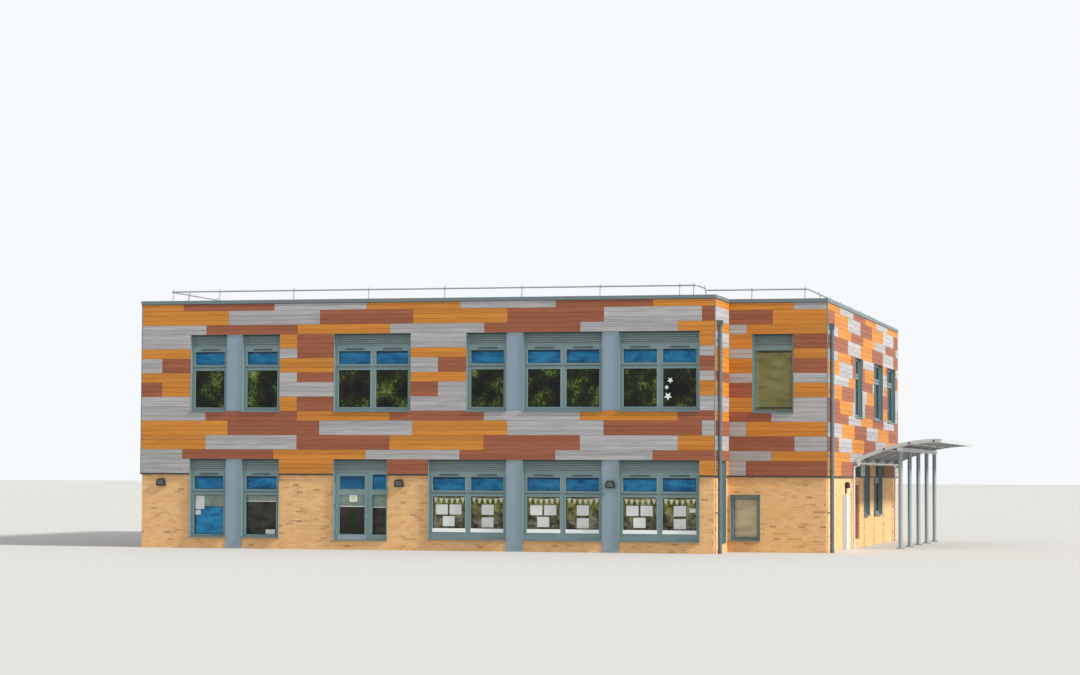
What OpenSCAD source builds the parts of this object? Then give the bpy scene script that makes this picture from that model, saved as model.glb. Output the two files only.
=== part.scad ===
// Two-storey school building: brick ground storey, boarded upper storey, flat roof, side canopy.
// Millimetres, +Z up. Outer faces of the cladding give the plan sizes.
// Each outer wall is drawn in its own frame: u runs along it from left to right as seen from outside,
// v runs inwards from its outer face, and z is the height above the lowest ground.

/* [Plan] */
// Length of the main front
main_w = 18450; // [16500:10:21000]
// How far the right-hand part stands back from the main front
step_d = 2270; // [2000:10:4000]
// Width of the part that stands back
step_w = 3060; // [2600:10:5000]
// Depth of the building from the main front to the rear
depth = 20300; // [19000:10:24000]
// Thickness of the outer walls
wall_t = 350; // [300:10:450]
// How far the boards stand proud of the brickwork
clad_t = 40; // [20:5:60]

/* [Levels above the lowest ground] */
// Top of the ground floor
floor_z = 280; // [200:10:340]
// Top of the visible brickwork
brick_z = 2310; // [2200:10:2400]
// Window heads of the ground storey
head_g = 2795; // [2700:5:2900]
// Window sills of the upper storey
sill_u = 4295; // [4200:5:4400]
// Window heads of the upper storey on the fronts
head_u = 6695; // [6550:5:6720]
// Window heads of the upper storey on the other walls
head_side = 6245; // [6100:5:6400]
// Top of the first floor
first_z = 3495; // [3400:5:3600]
// Top of the roof deck
roof_z = 7100; // [7050:10:7200]
// Thickness of the upper floor and of the roof deck
slab_t = 300; // [250:10:330]
// Top of the walls, under the coping
wall_z = 7670; // [7500:10:7900]
// Height of the coping
coping_h = 110; // [60:5:180]
// How far the coping stands out past the boards
coping_out = 30; // [10:5:60]

/* [Windows] */
// Distance from the face of the boards to the face of a frame
reveal = 120; // [90:5:150]
// Depth of a frame
frame_d = 70; // [50:5:90]
// Width of a frame with its sash, at the sides of a unit
frame_w = 120; // [80:5:140]
// Width of a mullion with two sashes
mullion_w = 190; // [120:5:200]
// Thickness of the glass units
glass_t = 24; // [12:2:36]
// Clear height of a louvre panel on the fronts
louvre_h = 340; // [240:5:340]
// Number of blades in a louvre panel
blade_n = 5; // [3:1:7]
// Thickness of a blade
blade_t = 12; // [8:1:20]
// Height of a sill
sill_h = 40; // [25:5:60]
// How far a sill stands out past the boards
sill_out = 45; // [20:5:80]

/* [Doors] */
// Height of a door leaf
leaf_h = 2100; // [2000:10:2100]
// Thickness of a door leaf
leaf_t = 50; // [44:1:60]
// Clearance round a door leaf
leaf_gap = 6; // [5:1:10]
// Width of the stiles of a door leaf
stile_w = 100; // [80:5:120]
// Height of the bottom rail of a door leaf
bottom_rail_h = 180; // [120:5:220]
// Width of the leaf of the classroom door
class_leaf_w = 1030; // [900:10:1060]
// Diameter of a pull handle
handle_d = 30; // [20:1:36]

/* [Roof] */
// Distance from the outer face of the walls to the guard rail
rail_in = 700; // [680:10:1200]
// Height of the top of the guard rail above the ground
rail_z = 8140; // [7900:10:8300]
// Diameter of the guard rail tube
rail_d = 48; // [34:1:60]
// Spacing of the guard rail posts
rail_pitch = 2480; // [1800:10:2480]
// Inward lean of the guard rail posts, in degrees
rail_rake = 10; // [0:1:12]
// Radius of the bends at the corners of the guard rail
bend_r = 60; // [50:5:150]

/* [Rainwater] */
// Diameter of the front downpipe
pipe_d = 130; // [90:5:150]
// Diameter of the side downpipe
side_pipe_d = 130; // [90:5:150]
// Gap between a downpipe and the boards
pipe_off = 40; // [20:5:60]
// Top of the hopper heads above the ground
hopper_z = 7020; // [6900:10:7050]
// Height of a hopper head
hopper_h = 180; // [140:10:260]

/* [Canopy] */
// Distance from the main front to the near end of the canopy
canopy_y = 8000; // [7500:10:9000]
// Length of the canopy
canopy_l = 10900; // [9000:10:11200]
// Reach of the canopy from the wall
canopy_w = 2820; // [2200:10:3200]
// Top of the canopy sheets at the wall
canopy_low = 2890; // [2850:10:3000]
// Rise of the curved sheets
canopy_rise = 670; // [400:10:900]
// Thickness of the sheets
sheet_t = 20; // [10:1:32]
// Depth of the curved rafters
rafter_h = 95; // [60:5:110]
// Width of the curved rafters
rafter_w = 60; // [40:5:80]
// Diameter of the purlins
purlin_d = 60; // [40:1:76]
// Distance of the posts from the wall
post_out = 1520; // [1200:10:1900]
// Diameter of the posts
post_d = 140; // [90:5:160]
// Number of posts
post_n = 5; // [3:1:6]
// Height of the beam on the posts
beam_h = 120; // [90:5:160]
// Diameter of the canopy gutter
gutter_d = 110; // [90:5:130]

/* [Hidden] */
$fn = 48;
board_h = 150;
total_w = main_w + step_w;
side_l = depth - step_d;
panel_v = 20;
light_out = 90;
edge_t = 40;
low_x = -main_w - max(sill_out, coping_out);
high_x = step_w + canopy_w + edge_t;
low_y = -max(sill_out, coping_out, light_out - panel_v);
high_y = depth + max(sill_out, coping_out);
mid_x = (low_x + high_x) / 2;
mid_y = (low_y + high_y) / 2;
frame_v = reveal + frame_d;

// Units of the ground storey: [start, width, panes across, bottom]; the bottom panel is 0 or its top
low_sill = floor_z + 90;
bay = main_w / 6.15;
side_bay = side_l / 6.01;
function in_bays(list, b) = [for (e = list) [round(e[0] * b), round(e[1] * b), e[2]]];
front_units = in_bays([[0.553, 0.403, 1], [1.13, 0.413, 1], [3.163, 0.83, 2], [4.163, 0.83, 2],
    [5.163, 0.83, 2]], bay);
front_upper = in_bays([[0.553, 0.403, 1], [1.13, 0.413, 1], [2.137, 0.83, 2], [3.563, 0.427, 1],
    [4.163, 0.83, 2], [5.163, 0.83, 2]], bay);
class_u = round(2.14 * bay);
class_w = 1750;
// The space between two units, and the space from the start of one to the end of another
function between(a, b) = [a[0] + a[1], b[0] - a[0] - a[1]];
function span(a, b) = [a[0], b[0] + b[1] - a[0]];
grey_ground = [between(front_units[0], front_units[1]), between(front_units[2], front_units[3]),
    between(front_units[3], front_units[4])];
grey_upper = [between(front_upper[0], front_upper[1]), between(front_upper[3], front_upper[4]),
    between(front_upper[4], front_upper[5])];
recess_upper = [740, 1270];
recess_low = [50, 930];
recess_head = 1755;
return_u = 930;
return_w = 900;
side_upper = in_bays([[2.087, 0.6, 2], [3.703, 0.817, 2], [4.943, 0.8, 2]], side_bay);
side_ground = in_bays([[2.91, 0.417, 1], [3.81, 0.65, 2]], side_bay);
side_sill = 1040;
store_u = round(2.11 * side_bay);
store_w = 1300;
store_z = 2050;
unit_w = 2490;
function spread(n, pitch, total) =
    [for (i = [0:n - 1]) [round((total - (n - 1) * pitch - unit_w) / 2 + i * pitch), unit_w, 2]];
rear_units = spread(5, total_w / 5.4, total_w);
left_units = spread(3, depth / 3.2, depth);
jamb_w = frame_w / 2;

// Frames of the outer walls
module place() translate([-mid_x, -mid_y, 0]) children();
module on_front() place() translate([-main_w, 0, 0]) children();
module on_recess() place() translate([0, step_d, 0]) children();
module on_return() place() rotate(90) children();
module on_side() place() translate([step_w, step_d, 0]) rotate(90) children();
module on_rear() place() translate([step_w, depth, 0]) rotate(180) children();
module on_left() place() translate([-main_w, depth, 0]) rotate(-90) children();

// A block given by two opposite corners
module block(low, high) translate(low) cube(high - low);

// Floors: the plan inside the outer walls
module plan(inset) polygon([[-main_w + inset, inset], [-inset, inset], [-inset, step_d + inset],
    [step_w - inset, step_d + inset], [step_w - inset, depth - inset], [-main_w + inset, depth - inset]]);
module floor_plate(top, thick) place() translate([0, 0, top - thick]) linear_extrude(thick) plan(wall_t);

module ground_floor_slab() color("darkgray") floor_plate(floor_z, floor_z);
module first_floor_slab() color("lightgray") floor_plate(first_z, slab_t);
module roof_deck() color("gray") floor_plate(roof_z, slab_t);

// Brick piers that stand between the openings, from the ground to the heads
function starts(list) = [for (e = list) e[0]];
function ends(list) = [for (e = list) e[0] + e[1]];
module piers(from, to, gaps, inset_low = 0, inset_high = 0) {
    low = concat([from + inset_low], ends(gaps));
    high = concat(starts(gaps), [to - inset_high]);
    for (i = [0:len(gaps)]) block([low[i], clad_t, 0], [high[i], wall_t, head_g]);
}
front_gaps = [span(front_units[0], front_units[1]), [class_u, class_w], span(front_units[2], front_units[4])];
return_gaps = [[return_u, return_w]];
side_gaps = concat([[store_u, store_w]], side_ground);
module front_brick_piers() color("burlywood") {
    on_front() piers(0, main_w, front_gaps, clad_t, clad_t);
    on_recess() piers(0, step_w, [recess_low], -clad_t, clad_t);
}
module right_brick_walls() color("burlywood") {
    on_return() piers(wall_t, step_d + wall_t, return_gaps, 0, 0);
    on_side() piers(wall_t, side_l - wall_t, side_gaps, 0, 0);
}
module rear_brick_walls() color("burlywood") on_rear() piers(0, total_w, rear_units, clad_t, clad_t);
module left_brick_walls() color("burlywood") on_left() piers(wall_t, depth - wall_t, left_units, 0, 0);

// Low walls and thresholds that close the openings below the frames
module upstands(units, top) for (e = units) block([e[0], clad_t, 0], [e[0] + e[1], wall_t, top]);
module filling(e, low, high) block([e[0], clad_t, low], [e[0] + e[1], wall_t, high]);
module window_upstands() color("burlywood") {
    on_front() {
        upstands(front_units, low_sill);
        upstands([[class_u, class_w]], floor_z);
    }
    on_recess() {
        upstands([recess_low], low_sill);
        filling(recess_low, recess_head, head_g);
    }
    on_return() upstands(return_gaps, floor_z);
    on_side() {
        upstands(side_ground, side_sill);
        upstands([[store_u, store_w]], floor_z);
        filling([store_u, store_w], store_z, brick_z);
    }
    on_rear() upstands(rear_units, side_sill);
    on_left() upstands(left_units, side_sill);
}

// Boarded upper walls with their window openings
module upper_wall(from, to, units, head) difference() {
    block([from, 0, head_g], [to, wall_t, wall_z]);
    for (e = units) block([e[0], -1, sill_u], [e[0] + e[1], wall_t + 1, head]);
}
module front_upper_wall() color("peru") on_front()
    upper_wall(0, main_w, concat(front_upper, grey_upper), head_u);
module return_upper_wall() color("peru") on_return() upper_wall(wall_t, step_d + wall_t, [], head_u);
module recess_upper_wall() color("peru") on_recess() upper_wall(0, step_w, [recess_upper], head_u);
module right_upper_wall() color("goldenrod") on_side()
    upper_wall(wall_t, side_l - wall_t, side_upper, head_side);
module rear_upper_wall() color("peru") on_rear() upper_wall(0, total_w, rear_units, head_side);
module left_upper_wall() color("peru") on_left() upper_wall(wall_t, depth - wall_t, left_units, head_side);

// Boards over the heads of the brick piers
module tabs(from, to, gaps) {
    low = concat([from], ends(gaps));
    high = concat(starts(gaps), [to]);
    for (i = [0:len(gaps)]) block([low[i], 0, brick_z], [high[i], clad_t, head_g]);
}
module cladding_tabs() color("saddlebrown") {
    on_front() tabs(0, main_w, front_gaps);
    on_return() tabs(clad_t, step_d, return_gaps);
    on_recess() tabs(-clad_t, step_w, []);
    on_side() tabs(clad_t, side_l, side_gaps);
    on_rear() tabs(clad_t, total_w, rear_units);
    on_left() tabs(clad_t, depth - clad_t, left_units);
}

// Metal-faced piers between grouped windows
module pier_panels() color("slategray") on_front() {
    for (e = grey_ground) block([e[0], panel_v, 0], [e[0] + e[1], wall_t, head_g]);
    for (e = grey_upper) block([e[0], panel_v, sill_u], [e[0] + e[1], wall_t, head_u]);
}

module roof_coping() color("lightsteelblue") place() translate([0, 0, wall_z])
    linear_extrude(coping_h) difference() {
        plan(-coping_out);
        plan(wall_t + coping_out);
    }

// One window: a frame with openings for the panes of each row and for the louvre panel
function pane_w(w, n, side) = (w - 2 * side - (n - 1) * mullion_w) / n;
function pane_u(w, n, i, side) = side + i * (pane_w(w, n, side) + mullion_w);
module window_frame(u, w, n, low, high, rows, louvre = [], side = frame_w) difference() {
    block([u, reveal, low], [u + w, frame_v, high]);
    for (r = rows, i = [0:n - 1]) translate([u + pane_u(w, n, i, side), 0, 0])
        block([0, reveal - 1, r[0]], [pane_w(w, n, side), frame_v + 1, r[1]]);
    if (len(louvre) == 2)
        block([u + frame_w / 2, reveal - 1, louvre[0]], [u + w - frame_w / 2, frame_v + 1, louvre[1]]);
}
glass_v = reveal + (frame_d - glass_t) / 2;
module panes(u, w, n, rows, side = frame_w)
    for (r = rows, i = [0:n - 1]) translate([u + pane_u(w, n, i, side), 0, 0])
        block([0, glass_v, r[0]], [pane_w(w, n, side), glass_v + glass_t, r[1]]);
blade_rake = 55;
module louvre_blades(u, w, louvre) {
    pitch = (louvre[1] - louvre[0]) / blade_n;
    for (i = [0:blade_n - 1])
        translate([u + frame_w / 2, reveal + frame_d / 2, louvre[0] + (i + 0.5) * pitch])
            rotate([blade_rake, 0, 0])
                translate([0, -frame_d / 2, -blade_t / 2]) cube([w - frame_w, frame_d, blade_t]);
}

// Rows of panes, as heights above the ground
top_light_h = 410;
transom_h = 180;
vent_h = 165;
head_bar = 30;
louvre_g = [head_g - head_bar - louvre_h, head_g - head_bar];
louvre_u = [head_u - head_bar - louvre_h, head_u - head_bar];
function rows_under(top, bottom) = [[bottom, top - top_light_h - transom_h], [top - top_light_h, top]];
rows_g = rows_under(louvre_g[0] - vent_h, low_sill + 320);
rows_ab = rows_under(louvre_g[0] - vent_h, low_sill + 65);
rows_u = rows_under(louvre_u[0] - vent_h, sill_u + 115);
recess_rows = [[sill_u + 60, louvre_u[0] - 130]];
recess_rows_g = [[low_sill + 65, recess_head - 130]];
recess_side = 70;
recess_side_g = 100;
side_rows = rows_under(head_side - 90, sill_u + 90);
side_rows_g = rows_under(head_g - 90, side_sill + 90);
function first_units(list, n) = [for (i = [0:n - 1]) list[i]];
function last_units(list, n) = [for (i = [len(list) - n:len(list) - 1]) list[i]];
single_units = first_units(front_units, 2);
double_units = last_units(front_units, 3);

module front_window_frames() color("slategray") {
    on_front() {
        for (e = single_units) window_frame(e[0], e[1], e[2], low_sill, head_g, rows_ab, louvre_g);
        for (e = double_units) window_frame(e[0], e[1], e[2], low_sill, head_g, rows_g, louvre_g);
        for (e = front_upper) window_frame(e[0], e[1], e[2], sill_u, head_u, rows_u, louvre_u);
    }
    on_recess() {
        window_frame(recess_upper[0], recess_upper[1], 1, sill_u, head_u, recess_rows, louvre_u, recess_side);
        window_frame(recess_low[0], recess_low[1], 1, low_sill, recess_head, recess_rows_g, [],
            recess_side_g);
    }
}
module right_window_frames() color("slategray") on_side() {
    for (e = side_upper) window_frame(e[0], e[1], e[2], sill_u, head_side, side_rows);
    for (e = side_ground) window_frame(e[0], e[1], e[2], side_sill, head_g, side_rows_g);
    window_frame(store_u, store_w, 1, brick_z, head_g, [[brick_z + 60, head_g - 60]]);
}
module back_window_frames() color("slategray") {
    on_rear() {
        for (e = rear_units) window_frame(e[0], e[1], e[2], sill_u, head_side, side_rows);
        for (e = rear_units) window_frame(e[0], e[1], e[2], side_sill, head_g, side_rows_g);
    }
    on_left() {
        for (e = left_units) window_frame(e[0], e[1], e[2], sill_u, head_side, side_rows);
        for (e = left_units) window_frame(e[0], e[1], e[2], side_sill, head_g, side_rows_g);
    }
}
module front_glass() color("steelblue", 0.5) {
    on_front() {
        for (e = single_units) panes(e[0], e[1], e[2], rows_ab);
        for (e = double_units) panes(e[0], e[1], e[2], rows_g);
        for (e = front_upper) panes(e[0], e[1], e[2], rows_u);
        side_light_pane();
    }
    on_recess() {
        panes(recess_upper[0], recess_upper[1], 1, recess_rows, recess_side);
        panes(recess_low[0], recess_low[1], 1, recess_rows_g, recess_side_g);
    }
}
module right_glass() color("steelblue", 0.5) on_side() {
    for (e = side_upper) panes(e[0], e[1], e[2], side_rows);
    for (e = side_ground) panes(e[0], e[1], e[2], side_rows_g);
    panes(store_u, store_w, 1, [[brick_z + 60, head_g - 60]]);
}
module back_glass() color("steelblue", 0.5) {
    on_rear() for (e = rear_units) {
        panes(e[0], e[1], e[2], side_rows);
        panes(e[0], e[1], e[2], side_rows_g);
    }
    on_left() for (e = left_units) {
        panes(e[0], e[1], e[2], side_rows);
        panes(e[0], e[1], e[2], side_rows_g);
    }
}
module window_louvres() color("lightslategray") {
    on_front() {
        for (e = front_units) louvre_blades(e[0], e[1], louvre_g);
        louvre_blades(class_u, class_w, louvre_g);
        for (e = front_upper) louvre_blades(e[0], e[1], louvre_u);
    }
    on_recess() louvre_blades(recess_upper[0], recess_upper[1], louvre_u);
}
module sills(units, z) for (e = units)
    block([e[0], -sill_out, z - sill_h], [e[0] + e[1], 0, z]);
module brick_sills(units, z) for (e = units)
    block([e[0], -sill_out, z - sill_h], [e[0] + e[1], clad_t, z]);
module window_sills() color("lightgray") {
    on_front() {
        sills(front_upper, sill_u);
        brick_sills(front_units, low_sill);
    }
    on_recess() {
        sills([recess_upper], sill_u);
        brick_sills([recess_low], low_sill);
    }
    on_side() {
        sills(side_upper, sill_u);
        brick_sills(side_ground, side_sill);
    }
    on_rear() {
        sills(rear_units, sill_u);
        brick_sills(rear_units, side_sill);
    }
    on_left() {
        sills(left_units, sill_u);
        brick_sills(left_units, side_sill);
    }
}

// Doors: fixed frames, and leaves that are hinged at their outer edge
leaf_low = floor_z + leaf_gap;
leaf_top = leaf_low + leaf_h;
leaf_v = reveal + 5;
class_leaf_u = class_u + jamb_w + leaf_gap;
return_leaf_u = return_u + jamb_w + leaf_gap;
return_leaf_w = return_w - 2 * jamb_w - 2 * leaf_gap;
class_axis_u = class_leaf_u - leaf_gap / 2;
return_axis_u = return_leaf_u + return_leaf_w + leaf_gap / 2;
mid_rail = [1700, 1860];
side_bar = 70;
light_u = class_u + jamb_w + 2 * leaf_gap + class_leaf_w + side_bar * 2;
light_w = class_u + class_w - jamb_w - 10 - light_u;
light_rows = [[floor_z + 190, mid_rail[0]], [mid_rail[1], leaf_top - 60]];
module side_light_pane() for (r = light_rows)
    block([light_u, glass_v, r[0]], [light_u + light_w, glass_v + glass_t, r[1]]);
module door_frames() color("slategray") {
    on_front() difference() {
        block([class_u, reveal, floor_z], [class_u + class_w, frame_v, head_g]);
        block([class_u + jamb_w, reveal - 1, floor_z - 1],
            [class_u + jamb_w + 2 * leaf_gap + class_leaf_w, frame_v + 1, leaf_top + leaf_gap]);
        for (r = light_rows) block([light_u, reveal - 1, r[0]], [light_u + light_w, frame_v + 1, r[1]]);
        block([class_u + frame_w / 2, reveal - 1, louvre_g[0]],
            [class_u + class_w - frame_w / 2, frame_v + 1, louvre_g[1]]);
    }
    on_front() frame_knuckles(class_axis_u, -1);
    on_return() frame_knuckles(return_axis_u, 1);
    on_return() difference() {
        block([return_u, reveal, floor_z], [return_u + return_w, frame_v, head_g]);
        block([return_u + jamb_w, reveal - 1, floor_z - 1],
            [return_u + return_w - jamb_w, frame_v + 1, leaf_top + leaf_gap]);
    }
}
leaf_rows = [[leaf_low + bottom_rail_h, mid_rail[0]], [mid_rail[1], leaf_top - stile_w]];
module leaf(u, w) {
    difference() {
        block([u, leaf_v, leaf_low], [u + w, leaf_v + leaf_t, leaf_top]);
        for (r = leaf_rows)
            block([u + stile_w, leaf_v - 1, r[0]], [u + w - stile_w, leaf_v + leaf_t + 1, r[1]]);
    }
}
// Hinge knuckles on the outer face: the middle one is on the leaf, the others are on the frame
knuckle_d = 20;
knuckle_h = 60;
knuckle_gap = 0.3;
knuckle_v = reveal - knuckle_d / 2;
hinge_zs = [floor_z + 250, floor_z + 1050, floor_z + 1850];
module knuckle(u, z, side, plate_v) {
    translate([u, knuckle_v, z]) cylinder(d = knuckle_d, h = knuckle_h);
    block([min(u, u + side * 30), knuckle_v, z], [max(u, u + side * 30), plate_v, z + knuckle_h]);
}
module leaf_knuckles(u, side) for (z = hinge_zs) knuckle(u, z, side, leaf_v);
module frame_knuckles(u, side) for (z = hinge_zs, s = [-1, 1])
    knuckle(u, z + s * (knuckle_h + knuckle_gap), side, reveal);
module leaf_panes(u, w) for (r = leaf_rows)
    block([u + stile_w, leaf_v + (leaf_t - glass_t) / 2, r[0]],
        [u + w - stile_w, leaf_v + (leaf_t + glass_t) / 2, r[1]]);
// Pull handle on the outer face, on two short stand-offs
handle_low = floor_z + 850;
handle_high = floor_z + 1250;
handle_off = 55;
module pull(u) {
    translate([u, leaf_v - handle_off, handle_low]) cylinder(d = handle_d, h = handle_high - handle_low);
    for (z = [handle_low + 50, handle_high - 50])
        translate([u, leaf_v + 1, z]) rotate([90, 0, 0]) cylinder(d = handle_d * 0.6, h = handle_off);
}
module class_door() color("slategray") on_front() {
    leaf(class_leaf_u, class_leaf_w);
    pull(class_leaf_u + class_leaf_w - stile_w / 2);
    leaf_knuckles(class_axis_u, 1);
}
module class_door_glass() color("steelblue", 0.5) on_front() leaf_panes(class_leaf_u, class_leaf_w);
module return_door() color("slategray") on_return() {
    leaf(return_leaf_u, return_leaf_w);
    pull(return_leaf_u + stile_w / 2);
    leaf_knuckles(return_axis_u, -1);
}
module return_door_glass() color("steelblue", 0.5) on_return() leaf_panes(return_leaf_u, return_leaf_w);

// Downpipes with hopper heads and wall clips
clip_n = 4;
clip_low = 1200;
clip_h = 40;
clip_pitch = (hopper_z - hopper_h - clip_low) / (clip_n - 0.75);
module clip(u, d, v, z) block([u - d * 0.6, v, z], [u + d * 0.6, z < brick_z ? clad_t : 0, z + clip_h]);
module downpipe(u, d) {
    v = -pipe_off - d / 2;
    translate([u, v, 0]) cylinder(d = d, h = hopper_z - hopper_h);
    block([u - d * 0.7, -pipe_off - d * 1.15, hopper_z - hopper_h], [u + d * 0.7, 0, hopper_z]);
    for (i = [0:clip_n - 1]) clip(u, d, v, clip_low + i * clip_pitch);
}
module downpipes() color("slategray") {
    on_return() downpipe(250, pipe_d);
    on_side() downpipe(250, side_pipe_d);
}

// Guard rail: top and middle tubes on raked posts that stand on weighted feet
rail_top = rail_z - rail_d / 2;
rail_mid = (roof_z + rail_top) / 2;
post_top = rail_top + 75;
post_low = roof_z + 10;
foot_h = 60;
foot_w = 400;
foot_out = min(300, rail_in - wall_t - 50);
rail_post_d = rail_d - 6;
corner_in = bend_r + rail_d / 2;
// How far the rake brings the axis of a post outwards at a height
function lean(z) = round((rail_top - z) * tan(rail_rake));
module post(u) {
    translate([u, -lean(post_low), post_low]) rotate([-rail_rake, 0, 0])
        cylinder(d = rail_post_d, h = (post_top - post_low) / cos(rail_rake));
    block([u - foot_w / 2, -foot_out, roof_z], [u + foot_w / 2, foot_w - foot_out, roof_z + foot_h]);
}
// A run of both tubes with its posts; the start and the end are shortened by the bends
module rail_run(length, posts, start = bend_r, end = bend_r) {
    for (z = [rail_mid, rail_top]) translate([start, -lean(z), z]) rotate([0, 90, 0])
        cylinder(d = rail_d, h = length - start - end);
    for (u = posts) post(u);
}
// The bends that join the start of a run to the end of the one before it
module rail_bends() for (z = [rail_mid, rail_top]) translate([bend_r, bend_r, z]) rotate(180)
    rotate_extrude(angle = 90) translate([bend_r + lean(z), 0]) circle(d = rail_d);
function pitched(from, to) = [for (u = [from:rail_pitch:to]) u];
first_post = 520;
front_run = main_w - 2 * rail_in;
front_posts = [for (u = pitched(first_post, front_run - foot_w)) front_run - u];
module front_guard_rail() color("silver") on_front() translate([rail_in, rail_in, 0]) {
    rail_run(front_run, concat([corner_in, front_run - corner_in], front_posts));
    rail_bends();
}
// The return ends at a post, and the rail of the recess starts with a free end behind it
return_run = step_d - rail_in - 170;
recess_start = -850;
recess_run = step_w - rail_in - recess_start;
module step_guard_rail() color("silver") {
    on_return() translate([rail_in, rail_in, 0]) {
        rail_run(return_run, [return_run - rail_d / 2], end = 0);
        rail_bends();
    }
    on_recess() translate([recess_start, rail_in, 0])
        rail_run(recess_run, [recess_run - round(step_w * 0.572), recess_run - corner_in], start = 0);
}
side_run = side_l - 2 * rail_in;
rear_run = total_w - 2 * rail_in;
left_run = depth - 2 * rail_in;
module right_guard_rail() color("silver") on_side() translate([rail_in, rail_in, 0]) {
    rail_run(side_run, pitched(rail_pitch, side_run - foot_w));
    rail_bends();
}
module rear_guard_rail() color("silver") on_rear() translate([rail_in, rail_in, 0]) {
    rail_run(rear_run, concat([rear_run - corner_in], pitched(corner_in, rear_run - foot_w)));
    rail_bends();
}
module left_guard_rail() color("silver") on_left() translate([rail_in, rail_in, 0]) {
    rail_run(left_run, pitched(rail_pitch, left_run - foot_w));
    rail_bends();
}

// Canopy: sheets bent to one arc, level at their outer edge
canopy_v = 60;
run_w = canopy_w - canopy_v;
band_w = 40;
arc_r = (run_w * run_w + canopy_rise * canopy_rise) / (2 * canopy_rise);
arc_z = canopy_low + canopy_rise - arc_r;
module arc_band(top, thick, length) rotate([90, 0, 0]) mirror([0, 0, 1])
    linear_extrude(length) intersection() {
        translate([canopy_w, arc_z]) difference() {
            circle(r = arc_r + top, $fn = 720);
            circle(r = arc_r + top - thick, $fn = 720);
        }
        translate([canopy_v, 0]) square([run_w, arc_r]);
    }
module at_canopy(y) place() translate([step_w, canopy_y + y, 0]) children();
module canopy_sheets() color("lightcyan", 0.6) at_canopy(0)
    translate([canopy_w, 0, arc_z]) rotate([90, 0, 0]) rotate(90)
        rotate_extrude(angle = asin(run_w / arc_r), $fn = 720)
            translate([arc_r - sheet_t, band_w - canopy_l]) square([sheet_t, canopy_l - 2 * band_w]);
post_in = 250;
post_pitch = (canopy_l - 2 * post_in) / (post_n - 1);
// A rafter over each post, a band at each end of the sheets, and purlins through all of them
purlin_out = 15;
purlin_drop = sheet_t + 10 + purlin_d / 2;
purlins = [for (part = [0.36, 0.65, 0.93]) round(part * canopy_w)];
function arc_over(x) = arc_z + sqrt(pow(arc_r, 2) - pow(canopy_w - x, 2));
module canopy_rafters() color("lightslategray") {
    for (i = [0:post_n - 1]) at_canopy(post_in - rafter_w / 2 + i * post_pitch)
        arc_band(-sheet_t, rafter_h, rafter_w);
    for (y = [0, canopy_l - band_w]) at_canopy(y) arc_band(0, sheet_t + rafter_h, band_w);
    for (x = purlins) at_canopy(-purlin_out) translate([x, 0, arc_over(x) - purlin_drop])
        rotate([-90, 0, 0]) cylinder(d = purlin_d, h = canopy_l + 2 * purlin_out);
}
// Height of the underside of the rafters at a distance from the wall
function arc_under(x) = arc_z + sqrt(pow(arc_r - sheet_t - rafter_h, 2) - pow(canopy_w - x, 2));
beam_top = arc_under(post_out - post_d / 2);
module canopy_posts() color("slategray") {
    for (i = [0:post_n - 1]) at_canopy(post_in + i * post_pitch) translate([post_out, 0, 0]) {
        cylinder(d = post_d, h = beam_top - beam_h);
        block([-post_d, -post_d, 0], [post_d, post_d, 20]);
    }
}
// Wall plate, beam on the posts and outer edge beam
plate_h = 170;
flashing_h = 25;
module canopy_beams() color("lightslategray") at_canopy(0) {
    block([0, 0, canopy_low - plate_h], [canopy_v, canopy_l, canopy_low + flashing_h]);
    block([post_out - post_d / 2, 0, beam_top - beam_h], [post_out + post_d / 2, canopy_l, beam_top]);
    block([canopy_w, 0, canopy_low + canopy_rise - sheet_t - rafter_h],
        [canopy_w + edge_t, canopy_l, canopy_low + canopy_rise]);
}
// Half-round gutter that lies on brackets, with a head, a swan neck and a pipe at each end
gutter_skin = 5;
gutter_over = 90;
gutter_x = 190;
gutter_back = gutter_x - gutter_d / 2;
gutter_z = arc_under(gutter_back) - 10;
gutter_l = canopy_l + 2 * gutter_over;
gutter_pipe_d = 70;
gutter_pipe_x = gutter_pipe_d / 2 + 10;
neck_d = gutter_pipe_d - 10;
socket_d = gutter_pipe_d + 12;
socket_h = 60;
neck_top = gutter_z - gutter_d / 2;
neck_low = neck_top - 130;
neck_run = gutter_x - gutter_pipe_x;
neck_rise = neck_top - neck_low - socket_h;
head_top = canopy_low + 10;
pipe_clip_h = 30;
bracket_h = 25;
pipe_clips = [300, 1250, 2400];
module gutter_outlet() {
    translate([0, gutter_pipe_d, 0]) rotate([90, 0, 0]) linear_extrude(gutter_pipe_d)
        polygon([[gutter_back, head_top], [gutter_x + gutter_d / 2, head_top],
            [gutter_x + gutter_d / 2, gutter_z], [gutter_x + gutter_pipe_d / 2, neck_top - 10],
            [gutter_x - gutter_pipe_d / 2, neck_top - 10], [gutter_back, gutter_z]]);
    translate([gutter_pipe_x, gutter_pipe_d / 2, 0]) {
        cylinder(d = gutter_pipe_d, h = neck_low);
        translate([0, 0, neck_low]) cylinder(d = socket_d, h = socket_h);
        translate([neck_run, 0, neck_top - socket_h]) cylinder(d = socket_d, h = socket_h);
        translate([0, 0, neck_low + socket_h / 2]) rotate([0, atan(neck_run / neck_rise), 0])
            cylinder(d = neck_d, h = norm([neck_run, neck_rise]));
    }
    for (z = pipe_clips) block([z < brick_z ? -clad_t : 0, -7, z],
        [gutter_pipe_x, gutter_pipe_d + 7, z + pipe_clip_h]);
}
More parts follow.
